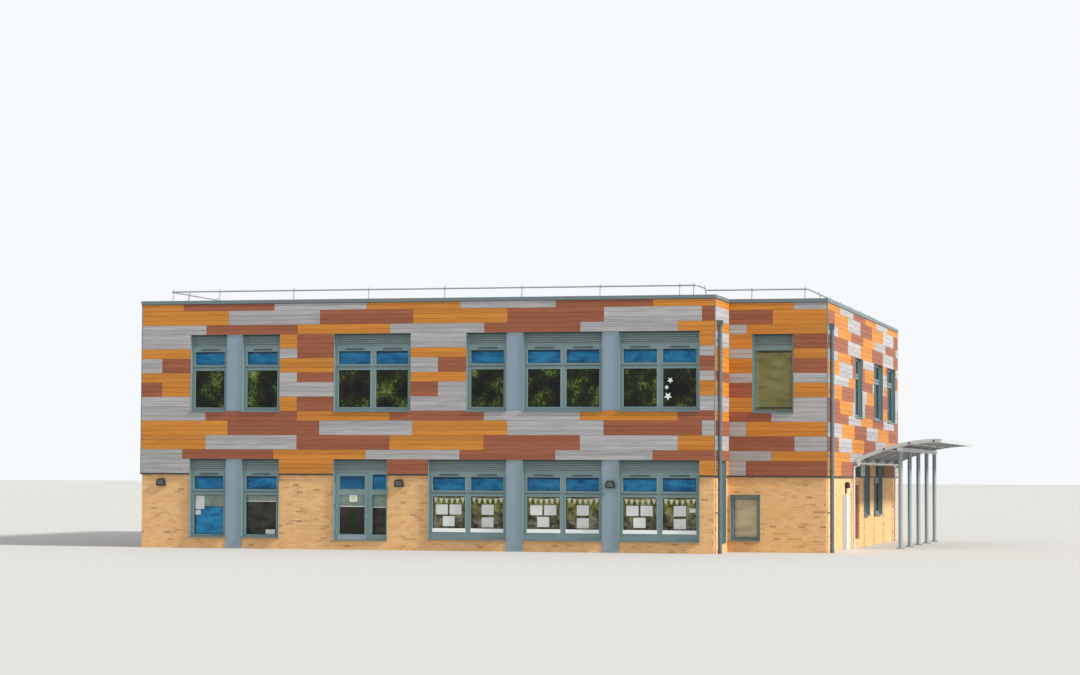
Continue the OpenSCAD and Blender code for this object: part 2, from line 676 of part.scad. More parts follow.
module canopy_gutter() color("lightgray") at_canopy(-gutter_over) {
    translate([gutter_x, 0, gutter_z]) rotate([-90, 0, 0]) difference() {
        cylinder(d = gutter_d, h = gutter_l);
        translate([0, 0, gutter_skin])
            cylinder(d = gutter_d - 2 * gutter_skin, h = gutter_l - 2 * gutter_skin);
        translate([-gutter_d, -gutter_d, -1]) cube([2 * gutter_d, gutter_d, gutter_l + 2]);
    }
    gutter_outlet();
    translate([0, gutter_l - gutter_pipe_d, 0]) gutter_outlet();
    for (i = [0:post_n - 1]) translate([0, gutter_over + post_in + i * post_pitch - 15, 0])
        block([canopy_v, 0, neck_top - bracket_h], [gutter_x, 30, neck_top + gutter_skin / 2]);
}

// Fittings on the walls: bulkhead lights that narrow towards the top, with a sunk lens
lamp_w = 300;
lamp_top_w = 250;
lamp_h = 230;
lamp_low = 1945;
lamp_cut = 45;
lamp_rim = 28;
lens_in = 15;
module lamp_shape(inset) {
    foot = lamp_w / 2 - inset;
    side = lamp_top_w / 2 - inset;
    top = lamp_top_w / 2 - lamp_cut - inset / 2;
    shoulder = lamp_h - lamp_cut - inset / 2;
    polygon([[-foot, inset], [foot, inset], [side, shoulder], [top, lamp_h - inset], [-top, lamp_h - inset],
        [-side, shoulder]]);
}
module wall_light(u, v) translate([u, v, lamp_low]) rotate([90, 0, 0]) difference() {
    linear_extrude(light_out) lamp_shape(0);
    translate([0, 0, light_out - lens_in]) linear_extrude(light_out) lamp_shape(lamp_rim);
}
module wall_lights() color("dimgray") {
    on_front() {
        wall_light(round(front_units[0][0] * 0.42), clad_t);
        wall_light(class_u + class_w + 380, clad_t);
        wall_light(grey_ground[2][0] + grey_ground[2][1] / 2, panel_v);
    }
    on_side() lantern();
}
// Domed hood over a diffuser, on a back plate on the side wall
cupboard_u = 3510;
cupboard_w = 620;
cupboard_out = 96;
cupboard_h = 1760;
lantern_u = cupboard_u + cupboard_w + 87;
plate_w = 200;
plate_low = 1775;
plate_top = 2140;
plate_t = 15;
hood_d = 160;
hood_low = 1965;
hood_side = 120;
hood_t = 6;
diffuser_d = 120;
module lantern() translate([lantern_u, clad_t, 0]) {
    block([-plate_w / 2, -plate_t, plate_low], [plate_w / 2, 0, plate_top]);
    translate([0, -hood_d / 2, hood_low]) {
        difference() {
            union() {
                cylinder(d = hood_d, h = hood_side);
                translate([0, 0, hood_side]) sphere(d = hood_d);
            }
            translate([0, 0, -hood_d]) cylinder(d = hood_d - 2 * hood_t, h = hood_d + hood_side / 2);
        }
        translate([0, 0, plate_low + 25 - hood_low])
            cylinder(d = diffuser_d, h = hood_low + hood_side - plate_low - 25);
    }
}
module meter_cupboard() color("gainsboro") on_side()
    block([cupboard_u, -cupboard_out, 0], [cupboard_u + cupboard_w, clad_t, cupboard_h]);
module store_front() color("brown") on_side()
    block([store_u, reveal, floor_z], [store_u + store_w, frame_v, store_z]);

ground_floor_slab();
first_floor_slab();
roof_deck();
front_brick_piers();
right_brick_walls();
rear_brick_walls();
left_brick_walls();
window_upstands();
front_upper_wall();
return_upper_wall();
recess_upper_wall();
right_upper_wall();
rear_upper_wall();
left_upper_wall();
cladding_tabs();
pier_panels();
roof_coping();
front_window_frames();
right_window_frames();
back_window_frames();
front_glass();
right_glass();
back_glass();
window_louvres();
window_sills();
door_frames();
class_door();
class_door_glass();
return_door();
return_door_glass();
downpipes();
front_guard_rail();
step_guard_rail();
right_guard_rail();
rear_guard_rail();
left_guard_rail();
canopy_sheets();
canopy_rafters();
canopy_posts();
canopy_beams();
canopy_gutter();
wall_lights();
meter_cupboard();
store_front();
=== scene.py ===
import math
import random

import bmesh
import bpy
from mathutils import Matrix, Vector


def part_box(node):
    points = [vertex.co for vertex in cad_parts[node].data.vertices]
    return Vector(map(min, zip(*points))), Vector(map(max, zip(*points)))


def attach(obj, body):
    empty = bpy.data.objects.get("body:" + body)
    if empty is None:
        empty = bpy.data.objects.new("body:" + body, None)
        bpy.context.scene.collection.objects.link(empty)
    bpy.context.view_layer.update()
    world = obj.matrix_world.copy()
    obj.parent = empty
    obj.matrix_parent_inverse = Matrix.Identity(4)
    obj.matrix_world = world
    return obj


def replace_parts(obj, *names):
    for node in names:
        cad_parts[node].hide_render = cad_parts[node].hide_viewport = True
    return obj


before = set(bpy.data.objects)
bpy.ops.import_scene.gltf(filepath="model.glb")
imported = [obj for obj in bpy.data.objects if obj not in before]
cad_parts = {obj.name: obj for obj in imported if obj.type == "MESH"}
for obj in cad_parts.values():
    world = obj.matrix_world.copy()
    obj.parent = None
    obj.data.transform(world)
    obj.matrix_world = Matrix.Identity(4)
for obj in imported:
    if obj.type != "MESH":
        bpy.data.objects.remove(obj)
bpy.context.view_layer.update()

# Plan and levels, taken from the construction
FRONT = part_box("front_upper_wall")
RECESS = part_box("recess_upper_wall")
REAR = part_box("rear_upper_wall")
FRONT_L = FRONT[1].x - FRONT[0].x
STEP_D = RECESS[0].y - FRONT[0].y
STEP_W = RECESS[1].x - FRONT[1].x
DEPTH = REAR[1].y - FRONT[0].y
SIDE_L = DEPTH - STEP_D
REAR_L = FRONT_L + STEP_W
WALL_T = RECESS[1].y - RECESS[0].y
WALL_TOP = FRONT[1].z
HEAD_G = FRONT[0].z
BRICK_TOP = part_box("cladding_tabs")[0].z
CLAD_T = 0.040
FLOOR_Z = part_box("ground_floor_slab")[1].z
ROOF_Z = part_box("roof_deck")[1].z
REVEAL = 0.120
FRAME_BACK = REVEAL + 0.070
SILL_U, HEAD_U, HEAD_SIDE = 4.295, 6.695, 6.245
LOW_SILL, SIDE_SILL, RECESS_HEAD = 0.370, 1.040, 1.755
JAMB, LEAF_GAP, CLASS_LEAF_W = 0.060, 0.006, 1.030
LOCK_RAIL = (1.700, 1.860)


def wall_frame(x, y, turn):
    """The frame of one wall: x runs along it from left to right as seen from outside, y inwards, z up."""
    return Matrix.Translation((x, y, 0)) @ Matrix.Rotation(math.radians(turn), 4, "Z")


WALLS = {
    "front": wall_frame(FRONT[0].x, FRONT[0].y, 0),
    "recess": wall_frame(FRONT[1].x, RECESS[0].y, 0),
    "return": wall_frame(FRONT[1].x, FRONT[0].y, 90),
    "side": wall_frame(RECESS[1].x, RECESS[0].y, 90),
    "rear": wall_frame(RECESS[1].x, REAR[1].y, 180),
    "left": wall_frame(FRONT[0].x, REAR[1].y, -90),
}
LENGTHS = {"front": FRONT_L, "recess": STEP_W, "return": STEP_D,
    "side": SIDE_L, "rear": REAR_L, "left": DEPTH}

# Camera at the photograph's viewpoint: 80 m in front of the main front, at eye level
EYE_RIGHT, EYE_OUT, EYE_Z = 14.97, 80.20, 2.30
PAN, PITCH, ROLL = 0.249084, 0.0510415, 0.00468077
camera_data = bpy.data.cameras.new("camera")
camera_data.lens = 90.46
camera_data.sensor_width = 36.0
camera_data.clip_end = 1000.0
camera = bpy.data.objects.new("camera", camera_data)
bpy.context.scene.collection.objects.link(camera)
eye = Vector((FRONT[1].x + EYE_RIGHT, FRONT[0].y - EYE_OUT, EYE_Z))
turned = Matrix.Rotation(PAN, 4, "Z") @ Matrix.Rotation(math.pi / 2 + PITCH, 4, "X")
camera.matrix_world = Matrix.Translation(eye) @ turned @ Matrix.Rotation(ROLL, 4, "Z")
bpy.context.scene.camera = camera
bpy.context.scene.view_settings.view_transform = "Standard"


# Materials
def srgb(text):
    """A hex colour as linear red, green, blue and alpha."""
    parts = [int(text[i:i + 2], 16) / 255 for i in (1, 3, 5)]
    return [p / 12.92 if p <= 0.04045 else ((p + 0.055) / 1.055) ** 2.4 for p in parts] + [1.0]


def feed(tree, target, inputs):
    """Sets inputs of a node. Each gets a value, a socket, or the first output of another node."""
    for key, value in inputs.items():
        if isinstance(value, bpy.types.Node):
            value = value.outputs[0]
        if isinstance(value, bpy.types.NodeSocket):
            tree.links.new(value, target.inputs[key])
        else:
            target.inputs[key].default_value = value


def node(tree, kind, inputs=None, stops=(), **settings):
    """Adds one node with its settings, what feeds it, and the stops (place, hex colour) of a colour ramp."""
    new = tree.nodes.new(kind)
    for name, value in settings.items():
        setattr(new, name, value)
    feed(tree, new, inputs or {})
    for i, (place, colour) in enumerate(stops):
        elements = new.color_ramp.elements
        element = elements[i] if i < len(elements) else elements.new(1.0)
        element.position = place
        element.color = srgb(colour)
    return new


def blank(name):
    """A new material and its node tree."""
    material = bpy.data.materials.new(name)
    material.use_nodes = True
    return material, material.node_tree


def surface(material, colour, roughness, relief=None, others=None):
    """Completes a material. Its relief is a height, how strongly it shows, and its depth in metres."""
    tree = material.node_tree
    shader = tree.nodes["Principled BSDF"]
    feed(tree, shader, {"Base Color": colour, "Roughness": roughness, **(others or {})})
    if relief:
        height, strength, depth = relief
        bump = node(tree, "ShaderNodeBump", {"Height": height, "Strength": strength, "Distance": depth})
        feed(tree, shader, {"Normal": bump})
    return material


def shaded(tree, colour, factor, low, high):
    """A colour that a factor makes darker or lighter."""
    shade = node(tree, "ShaderNodeMapRange", {"Value": factor, "To Min": low, "To Max": high})
    return node(tree, "ShaderNodeHueSaturation", {"Color": colour, "Value": shade})


def position(tree, scale=(1, 1, 1)):
    """Object coordinates in metres, scaled."""
    coordinates = node(tree, "ShaderNodeTexCoord").outputs["Object"]
    return node(tree, "ShaderNodeMapping", {"Vector": coordinates, "Scale": scale})


def stained_board(name, dark, mid, light):
    """Stained timber-grain board: long streaks of grain, a slightly different tone on each board."""
    material, tree = blank(name)
    tone = node(tree, "ShaderNodeAttribute", attribute_name="tone").outputs["Fac"]
    board = node(tree, "ShaderNodeMath", {0: tone, 1: 40.0}, operation="MULTIPLY")
    # Streaks 0.9 m long and 9 mm high, coarser than real grain so that they show from afar
    streaks = node(tree, "ShaderNodeTexNoise", {"Vector": position(tree, (1.1, 1.1, 110)), "W": board,
        "Scale": 1.0, "Detail": 5.0, "Roughness": 0.6}, noise_dimensions="4D")
    stain = node(tree, "ShaderNodeValToRGB", {"Fac": streaks}, [(0.30, dark), (0.52, mid), (0.75, light)])
    return surface(material, shaded(tree, stain, tone, 0.88, 1.10), 0.62, (streaks, 0.35, 0.003))


def coated_metal(name, colour, roughness=0.45, metallic=0.25):
    """Powder-coated aluminium: an even satin coat, a little duller where dust has settled."""
    material, tree = blank(name)
    dust = node(tree, "ShaderNodeTexNoise", {"Vector": position(tree), "Scale": 2.3, "Detail": 6.0})
    dulled = node(tree, "ShaderNodeMapRange", {"Value": dust,
        "To Min": roughness - 0.08, "To Max": roughness + 0.12})
    # Orange peel of the sprayed powder, 3 mm across
    peel = node(tree, "ShaderNodeTexNoise", {"Vector": position(tree), "Scale": 330.0, "Detail": 1.0})
    return surface(material, shaded(tree, srgb(colour), dust, 0.90, 1.08), dulled, (peel, 0.04, 0.001),
        {"Metallic": metallic})


def brickwork():
    """Facing brick in stretcher bond: 215 by 65 mm bricks of uneven tone in 10 mm pale mortar joints."""
    material, tree = blank("buff_facing_brick")
    place = node(tree, "ShaderNodeSeparateXYZ", {"Vector": position(tree)}).outputs
    # The courses run along Y on the faces that look along X, and along X on the others
    normal = node(tree, "ShaderNodeTexCoord").outputs["Normal"]
    across = node(tree, "ShaderNodeSeparateXYZ", {"Vector": normal})
    sideways = node(tree, "ShaderNodeMath", {0: across}, operation="ABSOLUTE")
    is_turned = node(tree, "ShaderNodeMath", {0: sideways, 1: 0.5}, operation="GREATER_THAN")
    along = node(tree, "ShaderNodeMix", {"Factor": is_turned, 2: place["X"], 3: place["Y"]})
    wall = node(tree, "ShaderNodeCombineXYZ", {"X": along, "Y": place["Z"]})
    bricks = node(tree, "ShaderNodeTexBrick", {"Vector": wall, "Color1": (0, 0, 0, 1), "Color2": (1, 1, 1, 1),
        "Mortar": (0.5, 0.5, 0.5, 1), "Scale": 1.0, "Mortar Size": 0.0055, "Mortar Smooth": 0.2,
        "Brick Width": 0.225, "Row Height": 0.075, "Bias": 0.0})
    tones = node(tree, "ShaderNodeValToRGB", {"Fac": bricks}, [(0.0, "#b27a4a"), (0.06, "#e0a461"),
        (0.35, "#e8ae69"), (0.65, "#f0b976"), (0.94, "#e6aa66"), (1.0, "#cd9257")])
    grit = node(tree, "ShaderNodeTexNoise", {"Vector": position(tree), "Scale": 90.0, "Detail": 4.0})
    sand = node(tree, "ShaderNodeValToRGB", {"Fac": grit}, [(0.35, "#b9824d"), (0.65, "#f8d8a2")])
    speckled = node(tree, "ShaderNodeMix", {"Factor": 0.15, 6: tones, 7: sand}, data_type="RGBA").outputs[2]
    weather = node(tree, "ShaderNodeTexNoise", {"Vector": position(tree), "Scale": 0.8, "Detail": 5.0})
    jointed = node(tree, "ShaderNodeMix", {"Factor": bricks.outputs["Fac"],
        6: shaded(tree, speckled, weather, 0.89, 1.13), 7: srgb("#dccfb8")}, data_type="RGBA").outputs[2]
    height = node(tree, "ShaderNodeMath", {0: grit, 1: bricks.outputs["Fac"]}, operation="SUBTRACT")
    return surface(material, jointed, 0.88, (height, 0.6, 0.006))


def glass_with_painted_reflections(name, stops, alpha):
    """Double glazing: a dark gloss whose colour holds painted reflections, large soft shapes broken up by
    blots 80 mm across.
    """
    material, tree = blank(name)
    shapes = node(tree, "ShaderNodeTexNoise", {"Vector": position(tree), "Scale": 1.7, "Detail": 3.0})
    blots = node(tree, "ShaderNodeTexNoise", {"Vector": position(tree), "Scale": 12.0, "Detail": 4.0,
        "Roughness": 0.7})
    both = node(tree, "ShaderNodeMix", {"Factor": 0.4, 2: shapes, 3: blots})
    # The ramp turns the shapes and blots into painted reflections
    reflections = node(tree, "ShaderNodeValToRGB", {"Fac": both}, stops)
    # Slight roller waves of float glass, about 0.5 m apart
    waves = node(tree, "ShaderNodeTexNoise", {"Vector": position(tree), "Scale": 2.0, "Detail": 0.0})
    return surface(material, reflections, 0.04, (waves, 0.05, 0.01),
        {"Specular IOR Level": 0.2, "Alpha": alpha})


def door_glazing():
    """Door glass painted by height: a dark room as painted shade, a grey-green blind over its white bar, then
    a blue blind painted darker towards its top as shade.
    """
    material, tree = blank("door_glass_with_painted_room_shade")
    place = node(tree, "ShaderNodeSeparateXYZ", {"Vector": position(tree)}).outputs
    height = node(tree, "ShaderNodeMapRange", {"Value": place["Z"], "From Max": 2.4})
    bands = node(tree, "ShaderNodeValToRGB", {"Fac": height}, [(0.2, "#1f201b"), (0.55, "#34332c"),
        (0.552, "#d5d9d2"), (0.562, "#d5d9d2"), (0.564, "#75887f"), (0.74, "#8b9d90"),
        (0.742, "#1c6a9e"), (1.0, "#123c5e")])
    cloud = node(tree, "ShaderNodeTexNoise", {"Vector": position(tree), "Scale": 4.0, "Detail": 6.0})
    return surface(material, shaded(tree, bands, cloud, 0.6, 1.4), 0.05, None, {"Specular IOR Level": 0.2})


def woven_cloth(name, colour, fold_shade):
    """Blind or flag cloth: a plain weave, with painted shade of soft folds across it."""
    material, tree = blank(name)
    # Threads 4 mm apart, coarser than real ones so that they show
    weave = node(tree, "ShaderNodeTexWave", {"Vector": position(tree), "Scale": 80.0, "Distortion": 1.0},
        bands_direction="Z").outputs["Fac"]
    # Painted shade of folds: the cloth is flat, and its creases are only a darker colour
    painted_fold_shade = node(tree, "ShaderNodeTexNoise", {"Vector": position(tree, (2.2, 2.2, 5.0)), "Scale": 1.0,
        "Detail": 5.0})
    tinted = node(tree, "ShaderNodeValToRGB", {"Fac": painted_fold_shade}, [(0.35, fold_shade), (0.58, colour), (0.8, colour)])
    return surface(material, tinted, 0.85, (weave, 0.15, 0.001), {"Sheen Weight": 0.2})


def mottled_cloth():
    """Mottled display cloth: yellow-green blots at the top that turn grey-brown lower down."""
    material, tree = blank("mottled_display_cloth")
    blots = node(tree, "ShaderNodeTexNoise", {"Vector": position(tree), "Scale": 5.5, "Detail": 7.0,
        "Roughness": 0.6})
    upper = node(tree, "ShaderNodeValToRGB", {"Fac": blots},
        [(0.36, "#3c4a25"), (0.50, "#8a8f3d"), (0.62, "#b9b562")])
    lower = node(tree, "ShaderNodeValToRGB", {"Fac": blots},
        [(0.36, "#2d2a25"), (0.50, "#6a6252"), (0.64, "#a49a86")])
    place = node(tree, "ShaderNodeSeparateXYZ", {"Vector": position(tree)}).outputs
    height = node(tree, "ShaderNodeMapRange", {"Value": place["Z"], "From Min": 0.9, "From Max": 1.5})
    mixed = node(tree, "ShaderNodeMix", {"Factor": height, 6: lower, 7: upper}, data_type="RGBA").outputs[2]
    return surface(material, mixed, 0.9)


def galvanised_steel():
    """Hot-dip galvanised tube: dull grey with pale and dark crystals about 15 mm across."""
    material, tree = blank("galvanised_steel")
    spangle = node(tree, "ShaderNodeTexVoronoi", {"Vector": position(tree), "Scale": 65.0}).outputs["Color"]
    crystals = node(tree, "ShaderNodeValToRGB", {"Fac": spangle}, [(0.2, "#9aa3a8"), (0.8, "#c3c9cc")])
    return surface(material, crystals, 0.48, None, {"Metallic": 0.55})


def cast_concrete(name, dark, light):
    """Floated concrete: cloudy greys with fine pores."""
    material, tree = blank(name)
    cloud = node(tree, "ShaderNodeTexNoise", {"Vector": position(tree), "Scale": 0.9, "Detail": 9.0,
        "Roughness": 0.6})
    greys = node(tree, "ShaderNodeValToRGB", {"Fac": cloud}, [(0.3, dark), (0.7, light)])
    pores = node(tree, "ShaderNodeTexNoise", {"Vector": position(tree), "Scale": 140.0, "Detail": 3.0})
    return surface(material, greys, 0.9, (pores, 0.3, 0.002))


def roof_felt():
    """Mineral roofing felt: grey chippings, with a darker lap every metre."""
    material, tree = blank("roof_felt")
    place = node(tree, "ShaderNodeSeparateXYZ", {"Vector": position(tree)}).outputs
    lap = node(tree, "ShaderNodeMath", {0: place["X"], 1: 1.0}, operation="FLOORED_MODULO")
    edge = node(tree, "ShaderNodeMath", {0: lap, 1: 0.04}, operation="LESS_THAN")
    chips = node(tree, "ShaderNodeTexNoise", {"Vector": position(tree), "Scale": 45.0, "Detail": 6.0})
    stains = node(tree, "ShaderNodeTexNoise", {"Vector": position(tree), "Scale": 0.45, "Detail": 6.0})
    both = node(tree, "ShaderNodeMix", {"Factor": 0.5, 2: chips, 3: stains})
    colour = node(tree, "ShaderNodeValToRGB", {"Fac": both}, [(0.38, "#6f7478"), (0.62, "#9da1a2")])
    lapped = node(tree, "ShaderNodeMix", {"Factor": edge, 6: colour, 7: srgb("#5f6467")}, data_type="RGBA")
    return surface(material, lapped.outputs[2], 0.92, (chips, 0.4, 0.003))


def multiwall_sheet():
    """Multiwall polycarbonate: a grey translucent sheet with fine ribs 40 mm apart down its slope."""
    material, tree = blank("multiwall_polycarbonate")
    place = node(tree, "ShaderNodeSeparateXYZ", {"Vector": position(tree)}).outputs
    rib = node(tree, "ShaderNodeMath", {0: place["Y"], 1: 0.040}, operation="PINGPONG")
    line = node(tree, "ShaderNodeMapRange", {"Value": rib, "From Max": 0.040})
    tones = node(tree, "ShaderNodeValToRGB", {"Fac": line},
        [(0.0, "#42494d"), (0.35, "#646e73"), (1.0, "#717c81")])
    return surface(material, tones, 0.25, None, {"Alpha": 0.90})


def vertical_stain(name, dark, light):
    """Stained softwood boards stood on end: streaks that run down them."""
    material, tree = blank(name)
    grain = node(tree, "ShaderNodeTexNoise", {"Vector": position(tree, (60, 60, 1.2)), "Scale": 1.0,
        "Detail": 5.0})
    stain = node(tree, "ShaderNodeValToRGB", {"Fac": grain}, [(0.35, dark), (0.65, light)])
    return surface(material, stain, 0.6, (grain, 0.3, 0.002))


def moulded_plastic(name, colour, roughness=0.5):
    """Moulded plastic: an even colour with a fine spark-eroded grain."""
    material, tree = blank(name)
    grain = node(tree, "ShaderNodeTexNoise", {"Vector": position(tree), "Scale": 400.0, "Detail": 2.0})
    return surface(material, shaded(tree, srgb(colour), grain, 0.95, 1.05), roughness, (grain, 0.1, 0.0005))


ORANGE = stained_board("orange_stained_board", "#ad6412", "#cd8228", "#dd9a40")
BROWN = stained_board("red_brown_stained_board", "#82422a", "#995638", "#ad6a48")
GREY = stained_board("weathered_grey_board", "#838181", "#b0aeae", "#d6d4d4")
BRICK = brickwork()
FRAME_PAINT = coated_metal("blue_grey_coated_aluminium", "#7e9597")
PIER_PAINT = coated_metal("blue_grey_coated_panel", "#8c9fab", 0.5)
LOUVRE_PAINT = coated_metal("blue_grey_coated_louvre", "#98aaa9", 0.5)
VENT_PAINT = coated_metal("dark_coated_vent", "#4e5c62", 0.5)
COPING_PAINT = coated_metal("pale_coated_aluminium", "#737f83")
PIPE_PAINT = coated_metal("grey_coated_downpipe", "#5f6d74")
POST_PAINT = coated_metal("pale_blue_grey_coated_steel", "#96a5af", 0.5)
RAFTER_PAINT = coated_metal("pale_grey_coated_steel", "#c2c9cc", 0.5)
DARK_METAL = coated_metal("black_coated_metal", "#2c3134", 0.4)
# Dark metal that paints shade lines under the heads, the boards and the coping
SHADOW_METAL = coated_metal("dark_grey_painted_shade_flashing", "#3d4548", 0.6)
BACKING = coated_metal("dark_breather_membrane", "#5a5552", 0.9, 0.0)
STEEL = galvanised_steel()
# Near-opaque glass whose colour paints reflections of the garden in front over the dark shade of the room
# behind
GLASS_LOW = glass_with_painted_reflections("glass_with_painted_garden_reflection", [(0.36, "#020505"), (0.45, "#0d150f"),
    (0.50, "#28290f"), (0.53, "#1b2c12"), (0.57, "#4a5a1e"), (0.62, "#72833a"), (0.70, "#b4bda0")], 0.92)
GLASS_CLEAR = glass_with_painted_reflections("clear_glass_over_a_display", [(0.40, "#2c3a35"), (0.60, "#4b5c40")], 0.06)
GLASS_TOP = glass_with_painted_reflections("clear_glass_over_a_blind", [(0.45, "#1d567c"), (0.60, "#4b8fb4")], 0.16)
# Near-opaque glass whose colour paints the shade of a dark room, with faint painted reflections
GLASS_BACK = glass_with_painted_reflections("glass_with_painted_dark_room_shade", [(0.38, "#1a2225"), (0.52, "#2b373a"),
    (0.66, "#47575c")], 0.9)
GLASS_DOOR = door_glazing()
BLIND_BLUE = woven_cloth("blue_blind_cloth", "#2ba3dc", "#1569a6")
NAVY_BLIND_BOX_SHADE = coated_metal("navy_blind_box_painting_shade", "#183a52")
BLIND_OLIVE = woven_cloth("olive_blind_cloth", "#a09e66", "#86834f")
SCREEN_GREEN = woven_cloth("pale_green_screen_cloth", "#c2c48e", "#a9ab76")
SCREEN_GREY = woven_cloth("grey_green_screen_cloth", "#9fb0a4", "#84968b")
SCREEN_BUFF = woven_cloth("buff_screen_cloth", "#efe2c6", "#d6c7a6")
ROOM_SHADE_CLOTH = woven_cloth("painted_room_shade_cloth", "#47443d", "#22221f")
DISPLAY = mottled_cloth()
PAPER = moulded_plastic("white_card", "#f4f6f4", 0.8)
CARD_GREEN = moulded_plastic("pale_green_card", "#cfe0a4", 0.8)
BUNTING = woven_cloth("cream_flag_cloth", "#f3f0dc", "#dfd9bd")
CONCRETE = cast_concrete("floated_concrete", "#77756f", "#99968f")
FELT = roof_felt()
SHEET = multiwall_sheet()
STAIN_RED = vertical_stain("red_brown_stained_softwood", "#5d241b", "#8a3c2c")
STAIN_SLAT = vertical_stain("brown_stained_slat", "#6b3f1c", "#935a2a")
WHITE_PLASTIC = moulded_plastic("pale_grey_moulded_plastic", "#c9d2da")
GUTTER_PLASTIC = moulded_plastic("white_gutter_plastic", "#d3d5d3", 0.35)
OPAL = moulded_plastic("opal_diffuser", "#e9e2d0", 0.3)
LENS = moulded_plastic("grey_lamp_lens", "#565659", 0.25)

# Materials of the carried-over nodes
for material, names in (
        (BRICK, ["front_brick_piers", "rear_brick_walls", "right_brick_walls", "left_brick_walls",
            "window_upstands"]),
        (BACKING, ["front_upper_wall", "return_upper_wall", "recess_upper_wall", "right_upper_wall",
            "rear_upper_wall", "left_upper_wall", "cladding_tabs"]),
        (PIER_PAINT, ["pier_panels"]),
        (COPING_PAINT, ["roof_coping", "window_sills"]),
        (FRAME_PAINT, ["front_window_frames", "right_window_frames", "back_window_frames", "door_frames",
            "class_door", "return_door"]),
        (LOUVRE_PAINT, ["window_louvres"]),
        (GLASS_DOOR, ["class_door_glass", "return_door_glass"]),
        (CONCRETE, ["ground_floor_slab", "first_floor_slab"]),
        (FELT, ["roof_deck"]),
        (SHEET, ["canopy_sheets"]),
        (RAFTER_PAINT, ["canopy_rafters", "canopy_beams"]),
        (POST_PAINT, ["canopy_posts"]),
        (GUTTER_PLASTIC, ["canopy_gutter"]),
        (WHITE_PLASTIC, ["meter_cupboard"]),
        (STAIN_RED, ["store_front"])):
    for name in names:
        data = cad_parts[name].data
        data.materials.clear()
        data.materials.append(material)

# Modelling helpers
SMOOTH_ANGLE = math.radians(40)
FACING_OUT = (math.pi / 2, 0, 0)


def begin(name):
    """Starts a piece as an empty mesh in edit mode, in the frame of the wall that it will stand on."""
    bpy.ops.object.select_all(action="DESELECT")
    bpy.ops.mesh.primitive_plane_add(size=1)
    piece = bpy.context.object
    piece.name = piece.data.name = name
    bpy.ops.object.mode_set(mode="EDIT")
    bpy.ops.mesh.delete(type="VERT")
    bpy.ops.mesh.select_mode(type="FACE")
    return piece


def plate(u0, u1, z0, z1, v):
    """Adds a face that looks outwards."""
    middle = ((u0 + u1) / 2, v, (z0 + z1) / 2)
    bpy.ops.mesh.primitive_plane_add(size=1, location=middle, rotation=FACING_OUT)
    bpy.ops.transform.resize(value=(u1 - u0, 1, z1 - z0), center_override=middle)


def block(low, high):
    """Adds a block between two corners."""
    middle = [(a + b) / 2 for a, b in zip(low, high)]
    bpy.ops.mesh.primitive_cube_add(size=1, location=middle)
    bpy.ops.transform.resize(value=[b - a for a, b in zip(low, high)], center_override=middle)


def disc(centre, radius, depth, axis, sides=32):
    """Adds a round bar along an axis of the wall's frame."""
    turn = {"u": (0, math.pi / 2, 0), "v": FACING_OUT, "z": (0, 0, 0)}[axis]
    bpy.ops.mesh.primitive_cylinder_add(vertices=sides, radius=radius, depth=depth, location=centre,
        rotation=turn)


def thicken(distance):
    """Raises all faces outwards into closed plates."""
    bpy.ops.mesh.select_all(action="SELECT")
    bpy.ops.mesh.extrude_region_move(TRANSFORM_OT_translate={"value": (0, -distance, 0)})
    bpy.ops.mesh.select_all(action="SELECT")
    bpy.ops.mesh.normals_make_consistent(inside=False)


def open_frames(width, depth):
    """Turns each face into a raised frame: it is inset, opened and thickened."""
    bpy.ops.mesh.select_all(action="SELECT")
    bpy.ops.mesh.inset(thickness=width, use_individual=True)
    bpy.ops.mesh.delete(type="FACE")
    thicken(depth)


def select(piece, test, mode="FACE"):
    """Selects the faces or edges that pass a test."""
    bpy.ops.mesh.select_mode(type=mode)
    bpy.ops.mesh.select_all(action="DESELECT")
    mesh = bmesh.from_edit_mesh(piece.data)
    for part in mesh.faces if mode == "FACE" else mesh.edges:
        part.select_set(test(part))
    bmesh.update_edit_mesh(piece.data)


def face_middle(part):
    """Where a face has its middle."""
    return part.calc_center_median()


def ease(piece, width, segments=1):
    """Bevels the sharp edges of the active piece."""
    bevel = piece.modifiers.new("edge", "BEVEL")
    bevel.width = width
    bevel.segments = segments
    bevel.limit_method = "ANGLE"
    bpy.ops.object.modifier_apply(modifier="edge")


def finish(piece, wall, material, body="building", edge=0.0, smooth=False):
    """Stands the piece on its wall, eases its edges and joins it to its body."""
    bpy.ops.object.mode_set(mode="OBJECT")
    piece.matrix_world = WALLS[wall]
    bpy.ops.object.transform_apply(location=True, rotation=True, scale=True)
    if edge:
        ease(piece, edge, 2)
    if smooth:
        bpy.ops.object.shade_smooth_by_angle(angle=SMOOTH_ANGLE)
    if material:
        piece.data.materials.append(material)
    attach(piece, body)
    return piece


# Windows: [start, width, panes across], in the frame of their wall
BAY = FRONT_L / 6.15
SIDE_BAY = SIDE_L / 6.01
UNIT_W = 2.49


def in_bays(units, bay):
    """Units that are given in bays, in metres."""
    return [(round(start * bay, 3), round(width * bay, 3), panes) for start, width, panes in units]


def spread(count, pitch, total):
    """Like units at an even pitch about the middle of a wall."""
    first = (total - (count - 1) * pitch - UNIT_W) / 2
    return [(round(first + i * pitch, 3), UNIT_W, 2) for i in range(count)]


